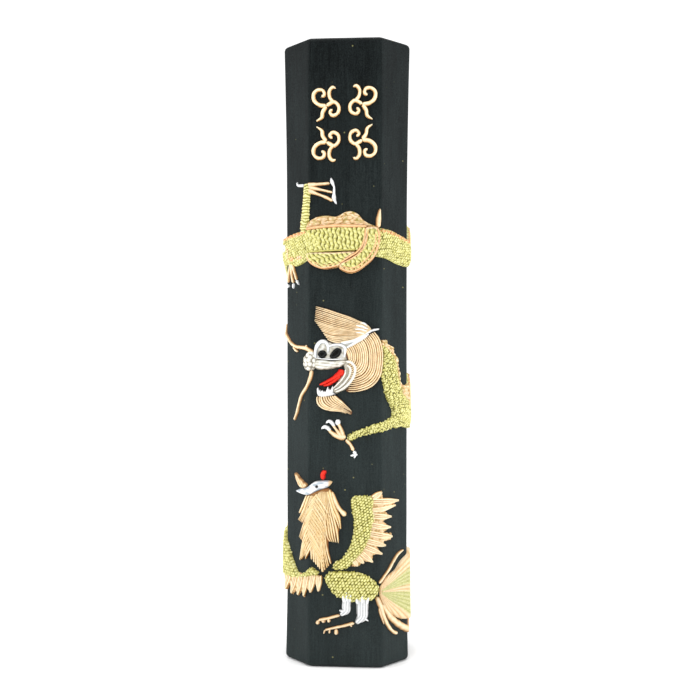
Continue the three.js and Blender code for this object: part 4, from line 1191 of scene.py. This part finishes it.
def build_phoenix_head():
    comb = [(-5.1, 44.7, 0.45), (-5.2, 46.1, 0.6), (-4.5, 46.8, 0.45)]
    build_lines("phoenix_comb", "vermilion", LIMB, RED, comb)

    def head(u, z, depth):
        pupil = blend(0.45, 0.25, np.hypot(u + 6.5, z - 43.1))
        share, colours = plain(WHITE, 0.95)(u, z, depth)
        colours = mix(colours, SILVER, 0.8 * blend(-0.2, 0.6, noise(u / 1.2, 1.3 * z, 41)))
        gold = blend(-4.2, -3.4, u)
        return share - 0.25 * pupil, mix(mix(colours, tint(PEACH, 0.7), gold), tint(BLACK, 0.3), pupil)

    outline = [
        (-13.2, 41.5), (-11, 40.95), (-8.5, 41), (-6.4, 42.1), (-4, 43), (-3.1, 44.2), (-5, 44.5),
        (-7.2, 44.2), (-9, 42.9), (-11, 42.4),
    ]
    shaped_piece("phoenix_head", "pearl_white", add_patch, outline, LIMB, 0.6, head, step=0.09)
    beak = [
        (-13.6, 45.8), (-13, 44.2), (-12.2, 42.9), (-11.2, 42.4), (-9.6, 42.6), (-9, 43.4), (-10.2, 44),
        (-11.5, 44.7), (-12.8, 45.6),
    ]
    shaped_piece(
        "phoenix_upper_beak", "peach_gold", add_patch, beak, LIMB, 0.6,
        plain(PEACH, 0.9, grooves(0.7, 0.6)), step=0.08,
    )


NECK_LOCKS = [
    ([(-8.9, 41), (-10.2, 38.6), (-11.7, 36.1)], [(-8.3, 41), (-9.7, 38), (-11.2, 35.6)], 2),
    ([(-8.3, 41), (-9.7, 37.6), (-12.2, 34.4)], [(-7.6, 41), (-9, 37), (-10.8, 33.9)], 4),
    (
        [(-7.7, 41), (-9.2, 36), (-10.6, 32.6), (-11.7, 30)],
        [(-6.9, 41), (-8.2, 36), (-9.4, 32), (-10.8, 29.4)],
        4,
    ),
    (
        [(-7, 41), (-8.4, 35), (-10.2, 30), (-11.5, 24.4)],
        [(-6, 41.6), (-7, 35), (-7.9, 30), (-8.5, 26.8)],
        7,
    ),
    (
        [(-6, 41.8), (-6.9, 36), (-7.7, 30), (-7.6, 25)],
        [(-5.2, 42), (-5.7, 36), (-5.7, 29), (-5.2, 22)],
        6,
    ),
    ([(-5.2, 42), (-5.6, 36), (-5.5, 29), (-5, 22)], [(-4.6, 42), (-4.7, 36), (-4.3, 29), (-3.1, 24)], 5),
    ([(-4.8, 42), (-4.6, 36), (-3.9, 31), (-3, 29.6)], [(-4, 42), (-3.2, 38), (-2, 33), (-1.5, 29.2)], 5),
    (
        [(-4, 42), (-3, 38), (-1.8, 35), (-1.2, 32.8)],
        [(-3.6, 42.4), (-2.6, 38.6), (-1.4, 35.6), (-0.9, 32.6)],
        2,
    ),
]
BARBS = 16  # strands laid over the locks on each side, slanting away from the middle
BARB_PITCH = 0.8


def build_neck_feathers():
    build = Build()
    ground = [
        (-9, 41), (-9.7, 39.4), (-10.4, 37.8), (-11.1, 36), (-11, 35.2), (-11.2, 34.4), (-10.3, 33.7),
        (-10.5, 32.2), (-10.8, 31), (-10.4, 29.6), (-10.5, 28), (-10.4, 27), (-9.6, 27.2), (-8.3, 28.4),
        (-7, 27.4), (-6.4, 26.6), (-5.6, 26.2), (-4.8, 26), (-4.3, 26.4), (-4, 27), (-4, 28), (-4, 30),
        (-2.9, 30.2), (-2.2, 30.2), (-1.9, 31.5), (-1.4, 32.8), (-1.6, 34.2), (-2.4, 36.4), (-3.4, 38.6),
        (-3.8, 42.6), (-5, 42.6), (-6.4, 42.1),
    ]
    # The ground is painted in the darkest browns of the feather paint, as the shade between the strands.
    add_patch(build, ground, 0.4, 0.4, plain(FEATHER, 0.12), smooth=False)
    for seed, (first, last, count) in enumerate(NECK_LOCKS):
        add_strands(
            build, first, last, count, 0.48, FEATHER, lift=0.4, fill=0.57, ragged=0.08, seed=30 + seed,
        )
    rng = np.random.default_rng(50)
    for i in range(BARBS):
        z = 41 - BARB_PITCH * i
        axis = np.interp(z, [29, 33, 41], [-7.6, -8.4, -6.5])
        for across, down in ((-2.3 if z > 34 else -1.7, 3.2), (3.3, 5.2)):
            across *= rng.uniform(0.9, 1.05)
            root = (axis - 0.06 * across, z + 0.4, 0.2)
            middle = (axis + 0.5 * across, z - 0.45 * down, 0.25)
            tip = (axis + across, z - down, 0.08)
            add_strand(
                build, [root, middle, tip], 0.3, FEATHER, lift=0.68, tone=(0.05, rng.uniform(0.8, 1)),
            )
    build.piece("phoenix_neck_feathers", "peach_gold")
    plume = [(-3.4, 41.9, 0.5), (-2.4, 39.6, 0.6), (-1.4, 37.8, 0.5), (0.2, 36.2, 0.65)]
    build_lines("phoenix_side_plume", "peach_gold", THREAD, CREAM, plume)


def add_feathers(build, outline, feathers):
    """A joined vane with pointed tips, and barbs laid over it along (root, tip, half width)."""

    def vane(u, z, depth):
        fleck = blend(0.2, 0.7, noise(1.6 * u, 1.6 * z, 33))
        # Painted shade: the vane is darker near its outline, at the foot of its edge; the flecks and olive
        # are paint.
        tones = 0.55 + 0.3 * blend(0, 0.5, depth) - 0.25 * fleck
        return 0.85 + 0.15 * noise(2 * u, 2 * z, 34), mix(tint(PEACH, tones), OLIVE, 0.35 * fleck)

    add_patch(build, outline, 0.55, 0.4, vane, smooth=False, ragged=0.12)
    for (ru, rz), (tu, tz), half in feathers:
        long = math.hypot(tu - ru, tz - rz)
        aside = (-(tz - rz) / long * half, (tu - ru) / long * half)
        for side in (-0.62, 0, 0.62):
            root = (ru + side * aside[0], rz + side * aside[1], 0.2)
            middle = ((ru + tu) / 2 + side * aside[0], (rz + tz) / 2 + side * aside[1], 0.26)
            tip = (tu + 0.25 * side * aside[0], tz + 0.25 * side * aside[1], 0.08)
            add_strand(
                build, [root, middle, tip], 0.32, CREAM if side else PEACH, lift=0.42, tone=(0.2, 1.0),
            )


RIGHT_FEATHERS = [
    ((6.4, 40.4), (8.6, 42), 0.6), ((6.2, 39.8), (13.9, 39.4), 0.75), ((6.2, 37.6), (12.9, 38.4), 0.55),
    ((6, 36.4), (11.6, 35.8), 0.75), ((5.8, 34.2), (11.4, 33.3), 0.7), ((5.6, 32.2), (11.9, 31), 0.75),
    ((5, 30.4), (9.8, 29.2), 0.7), ((4.6, 29), (8.7, 27.3), 0.7), ((3.8, 27.6), (6.5, 25.3), 0.65),
    ((2.8, 26.6), (4.4, 25), 0.6), ((2, 25.8), (3, 24.3), 0.5),
]
LEFT_FEATHERS = [
    ((-6, 22), (-6.2, 18.2), 0.6), ((-7.4, 22.2), (-8.1, 17.9), 0.65), ((-9, 22), (-10.2, 16.7), 0.7),
    ((-11, 21.6), (-12.3, 16.5), 0.75), ((-13, 21.4), (-14.7, 16.4), 0.8),
    ((-15.2, 21.6), (-17, 16.9), 0.8), ((-17.6, 22), (-20.4, 17), 0.85), ((-20, 22.6), (-24, 18.6), 0.85),
    ((-22.4, 24), (-27, 21.2), 0.85), ((-23.8, 26.4), (-28.8, 25.6), 0.85),
    ((-23.8, 29), (-28.2, 30.2), 0.85), ((-22.8, 30.4), (-24.6, 33.2), 0.75),
]


def build_wings():
    wing = [
        (1.3, 39.8), (1.9, 40.7), (4, 41), (6.2, 40.8), (7, 40), (6.6, 38), (7, 36), (6.4, 33.4), (6, 31),
        (4.8, 28.7), (3.2, 26.5), (1.2, 24.2), (-0.4, 23.4), (-3, 23.6), (-2.6, 25), (-0.8, 26),
        (1, 28.8), (1.9, 31.6), (2, 35), (1.5, 38.2),
    ]
    shaped_piece(
        "phoenix_right_wing", "gold_green", add_patch, wing, BODY, 0.9,
        knobs((0.78, 0.56), 0.42, turn=0.75, seed=17, floor=0.15, stray=0.35), ragged=0.2,
    )
    build = Build()
    vane = [
        (6, 40.9), (7.6, 41.1), (8.6, 42.1), (9, 40.5), (14, 39.4), (12, 38.4), (9, 37.7), (11.6, 35.8),
        (9, 34.9), (11.5, 33.2), (9.3, 32.3), (11.7, 31.8), (12, 31), (11.5, 30.3), (9.2, 30),
        (9.8, 29.2), (7.6, 28.8), (8.7, 27.2), (6.6, 27), (6.4, 25.2), (4.4, 25.4), (3, 24.1),
        (1.4, 24.2), (3, 27), (5, 31), (5.6, 38),
    ]
    add_feathers(build, vane, RIGHT_FEATHERS)
    build.piece("phoenix_right_wing_feathers", "peach_gold")

    wing = [
        (-24.6, 30.4), (-21, 31.6), (-18.4, 31), (-16.6, 28.2), (-15, 25.5), (-13.4, 23), (-12.2, 21.9),
        (-10, 22.4), (-7.8, 23.9), (-6.2, 22.2), (-9, 21.5), (-11, 20.9), (-14, 20.2), (-17.2, 20.3),
        (-20.4, 21), (-23.4, 23), (-25.6, 26.4),
    ]
    shaped_piece(
        "phoenix_left_wing", "gold_green", add_patch, wing, BODY, 0.9,
        knobs((0.78, 0.56), 0.42, turn=2.2, seed=18, floor=0.15, stray=0.35), ragged=0.2,
    )
    build = Build()
    vane = [
        (-5.6, 21.8), (-6.2, 18.1), (-7.1, 19.8), (-8.1, 17.8), (-9.2, 18.8), (-10.2, 16.5),
        (-11.2, 17.8), (-12.3, 16.4), (-13.3, 17.4), (-14.7, 16.2), (-15.5, 18.6), (-17, 16.7),
        (-18.4, 18.4), (-20.4, 16.8), (-21.2, 19), (-24, 18.4), (-24.2, 21), (-27, 21), (-26.8, 23.8),
        (-29, 25.6), (-27.2, 27.4), (-28.4, 30.4), (-25.8, 30.6), (-24.6, 33.4), (-22.6, 31.4), (-24, 28),
        (-21, 23), (-14, 21.6), (-8, 22.4),
    ]
    add_feathers(build, vane, LEFT_FEATHERS)
    build.piece("phoenix_left_wing_feathers", "peach_gold")


FLUTE_WIDTH = 0.6
PHOENIX_LEGS = {
    "phoenix_left_leg": [(0.5, 17.2, 0.95), (0.3, 15, 1.05), (0.2, 13.8, 1.05), (-0.6, 13, 0.6)],
    "phoenix_right_leg": [(4.1, 16.2, 1.45), (4.1, 14, 1.4), (4, 12.4, 1.3), (3, 11.2, 0.6)],
}
# The jagged tops of the legs over the body, and their spurs.
LEG_TUFTS = {
    "phoenix_left_leg": [
        [(-0.2, 15.8, 0.3), (-0.4, 17, 0.3), (-0.6, 17.9, 0.1)],
        [(0.5, 16, 0.35), (0.4, 17.2, 0.3), (0.3, 18.4, 0.1)],
        [(1.1, 15.8, 0.3), (1.2, 16.8, 0.3), (1.4, 17.8, 0.1)],
        [(-0.4, 13.6, 0.3), (-1.3, 13.9, 0.12)],
    ],
    "phoenix_right_leg": [
        [(2.9, 15.4, 0.35), (2.7, 16.4, 0.35), (2.5, 17.2, 0.1)],
        [(3.9, 15.6, 0.4), (3.9, 16.8, 0.35), (3.9, 17.7, 0.1)],
        [(5, 15.4, 0.4), (5.2, 16.5, 0.35), (5.6, 17.3, 0.1)],
        [(4.6, 12, 0.35), (5.4, 11.5, 0.12)],
    ],
}


def fluted(s, t, depth):
    """White flutes along a leg, with painted shade in the grooves and at the foot of the edge."""
    flute = np.abs(np.sin(math.pi * t / FLUTE_WIDTH)) ** 0.6
    return 0.85 + 0.15 * flute, tint(WHITE, (0.3 + 0.58 * flute) * (0.4 + 0.6 * blend(0, 0.3, depth)))


def build_phoenix_body():
    body = [
        (-4.9, 21.4), (-3.6, 22.8), (-1, 23), (2, 22.9), (4.4, 22.4), (7, 20.9), (8, 19.6), (7.9, 18.2),
        (6.6, 16.4), (4, 15.9), (1.4, 15.8), (-1.2, 16.6), (-3, 17.7), (-4, 19.4),
    ]
    shaped_piece(
        "phoenix_body", "gold_green", add_patch, body, BODY, 1.1,
        knobs((0.9, 0.58), 0.42, turn=0.9, seed=19, floor=0.15, stray=0.4), ragged=0.2,
    )

    for node, leg in PHOENIX_LEGS.items():
        tufts = (LEG_TUFTS[node], 0.4, WHITE, 0.6, (0.4, 1.0))
        shaped_piece(node, "pearl_white", add_limb, leg, LIMB, fluted, over=[tufts], step=0.1)
    left = [
        [(-1.2, 12.6, 0.35), (-4, 11.8, 0.35), (-6.3, 11.3, 0.35)],
        [(-3.9, 11.7, 0.4), (-3.8, 10.8, 0.45)],
        [(-5.1, 11.4, 0.6), (-5.2, 10.7, 0.65)],
        [(-6.3, 11.3, 0.45), (-6.6, 10.3, 0.45)],
    ]
    build_lines("phoenix_left_foot", "peach_gold", THREAD, PEACH, *left)
    right = [
        [(2.2, 10.8, 0.4), (0, 10.15, 0.35), (-3, 9.45, 0.3), (-4.8, 9, 0.25)],
        [(-2.1, 9.3, 0.45), (-2.1, 7.9, 0.45)],
        [(-3.6, 9.2, 0.25), (-3.7, 8.2, 0.2)],
        [(-4.8, 9, 0.25), (-5, 8.1, 0.15)],
        [(1.2, 10.5, 0.3), (1.6, 9.9, 0.2)],
    ]
    build_lines("phoenix_right_foot", "peach_gold", THREAD, PEACH, *right)


def leaf_stripes(u, z, depth):
    """The tail leaf: bands of green and peach that spread from its root, with painted shade in the grooves
    between its ribs.
    """
    angle = np.arctan2(z - 18.6, u - 7.6)
    far = np.hypot(u - 7.6, z - 18.6)
    ridge = np.abs(np.sin(angle * 30 + 0.5 * noise(far / 5, angle * 3, 24))) ** 0.7
    peach = np.maximum(blend(0.36, 0.46, angle), blend(-0.2, -0.13, angle) * blend(0.05, -0.02, angle))
    peach = np.maximum(peach, blend(-0.62, -0.7, angle))
    grain = domes(far / 0.8, angle * 24, 23)
    green = tint(LEAF, (0.7 + 0.3 * grain) * (0.6 + 0.4 * ridge))
    colours = mix(green, tint(PEACH, 0.5 + 0.38 * ridge), np.maximum(peach, blend(0.5, 0.3, depth)))
    return 0.75 + 0.15 * ridge + 0.1 * grain, colours


def build_tail():
    leaf = [
        (8.1, 19), (9.6, 21.2), (11.2, 22), (13, 22.8), (14.6, 24.4), (17.2, 25.8), (20.6, 26.8),
        (24, 25.6), (27, 22.6), (28.6, 18.8), (27.2, 15), (24, 12), (20.6, 10.5), (17.2, 10.2),
        (15, 10.6), (13, 11.6), (11, 13), (9, 15.2), (8.2, 17.4),
    ]
    shaped_piece("phoenix_tail_leaf", "gold_green", add_patch, leaf, HAIR_TOP, 0.6, leaf_stripes)
    plume = [
        (8, 20.3, 0.3), (9.5, 21.9, 0.35), (11, 23.2, 0.4), (12.5, 25, 0.4), (14, 26.4, 0.35),
        (15.7, 27.2, 0.15),
    ]
    build_lines("phoenix_tail_plume", "peach_gold", THREAD, PEACH, plume)
    inner = [
        (7.5, 17.1, 0.6), (8.4, 15, 0.65), (9.2, 12.6, 0.6), (10.8, 9.7, 0.5), (12.4, 8, 0.4),
        (13.6, 7.4, 0.45),
    ]
    twin = [(8, 14.4, 0.2), (8.5, 12.5, 0.22), (9.3, 10.5, 0.12)]
    build_lines("phoenix_inner_streamer", "peach_gold", THREAD, PEACH, inner, twin)
    outer = [
        (9, 15.4, 0.6), (11, 12.4, 0.8), (13, 10.4, 0.8), (15, 8.9, 0.85), (17.2, 7.7, 0.85),
        (20, 6.9, 0.8), (23, 7.2, 0.7), (25.6, 8.8, 0.5), (27, 11, 0.2),
    ]
    build_lines("phoenix_outer_streamer", "peach_gold", THREAD, PEACH, outer)


# ---- Floor, light and camera ----

CAMERA_TURN = math.radians(3.44)
CAMERA_DISTANCE = 211.6
CAMERA_LENS = 43.25
CAMERA_ASIDE = 0.45
CAMERA_RISE = 0.503  # over the middle of the stick
FLOOR = 3  # metres from the middle of the floor to its edges
SKY_STRENGTH = (0.36, 1.15)  # in front of the stick, and behind it
SKY_TURNS = (-0.2, 0.75)  # where one turns into the other, as the y of the direction looked in
# Softboxes: place and aim in metres, width in metres, power in watts.
SOFTBOXES = {
    "key": ((-0.12, -0.42, 0.52), (0, 0, 0.07), 0.25, 0.85),
    "left": ((-0.5, -0.12, 0.26), (0, 0, 0.08), 0.35, 1.6),
    "right": ((0.5, -0.12, 0.26), (0, 0, 0.08), 0.35, 1.75),
}
SUN_STRENGTH = 1.8
SUN_SPREAD = 0.9  # radians


def add_floor():
    """A plain pale floor."""
    mesh = bpy.data.meshes.new("floor")
    corners = [(-FLOOR, -FLOOR, 0), (FLOOR, -FLOOR, 0), (FLOOR, FLOOR, 0), (-FLOOR, FLOOR, 0)]
    mesh.from_pydata(corners, [], [(0, 1, 2, 3)])
    floor = bpy.data.objects.new("floor", mesh)
    bpy.context.scene.collection.objects.link(floor)
    n = Nodes("floor")
    n.shader.inputs["Base Color"].default_value = (0.92, 0.92, 0.92, 1)
    n.shader.inputs["Roughness"].default_value = 0.9
    n.shader.inputs["Specular IOR Level"].default_value = 0.0
    mesh.materials.append(n.material)


def add_sky():
    """A sky that is white behind the stick and grey in front of it, where the front face looks."""
    world = bpy.data.worlds.new("sky")
    bpy.context.scene.world = world
    world.use_nodes = True
    tree = world.node_tree
    place = tree.nodes.new("ShaderNodeTexCoord")
    split = tree.nodes.new("ShaderNodeSeparateXYZ")
    tree.links.new(place.outputs["Generated"], split.inputs["Vector"])
    level = tree.nodes.new("ShaderNodeMapRange")
    for key, value in zip(("From Min", "From Max", "To Min", "To Max"), SKY_TURNS + SKY_STRENGTH):
        level.inputs[key].default_value = value
    tree.links.new(split.outputs["Y"], level.inputs["Value"])
    background = tree.nodes["Background"]
    background.inputs["Color"].default_value = (1, 1, 1, 1)
    tree.links.new(level.outputs["Result"], background.inputs["Strength"])


def add_light(name, place, aim, size, power):
    """A square softbox."""
    data = bpy.data.lights.new(name, "AREA")
    data.size, data.energy = size, power
    light = bpy.data.objects.new(name, data)
    light.location = place
    light.rotation_euler = (Vector(aim) - Vector(place)).to_track_quat("-Z", "Y").to_euler()
    bpy.context.scene.collection.objects.link(light)


def add_lights():
    for name, softbox in SOFTBOXES.items():
        add_light(name, *softbox)
    data = bpy.data.lights.new("above", "SUN")
    data.energy, data.angle = SUN_STRENGTH, SUN_SPREAD
    bpy.context.scene.collection.objects.link(bpy.data.objects.new("above", data))


def add_camera():
    data = bpy.data.cameras.new("camera")
    data.lens, data.sensor_width = CAMERA_LENS, 36
    camera = bpy.data.objects.new("camera", data)
    turn = CAMERA_TURN
    back = Vector((math.sin(turn), -math.cos(turn), 0)) * CAMERA_DISTANCE
    aside = Vector((math.cos(turn), math.sin(turn), 0)) * CAMERA_ASIDE
    camera.location = (back + aside + Vector((0, 0, LENGTH / 2 + CAMERA_RISE))) * MM
    camera.rotation_euler = (math.pi / 2, 0, turn)
    bpy.context.scene.collection.objects.link(camera)
    bpy.context.scene.camera = camera


build_ink()
build_clouds()
build_eyes()
build_skull()
build_face_lines()
build_hair()
build_neck()
build_coil()
build_hind_legs()
build_back()
build_phoenix_head()
build_neck_feathers()
build_wings()
build_phoenix_body()
build_tail()
add_floor()
add_sky()
add_lights()
add_camera()
bpy.context.scene.view_settings.view_transform = "Standard"
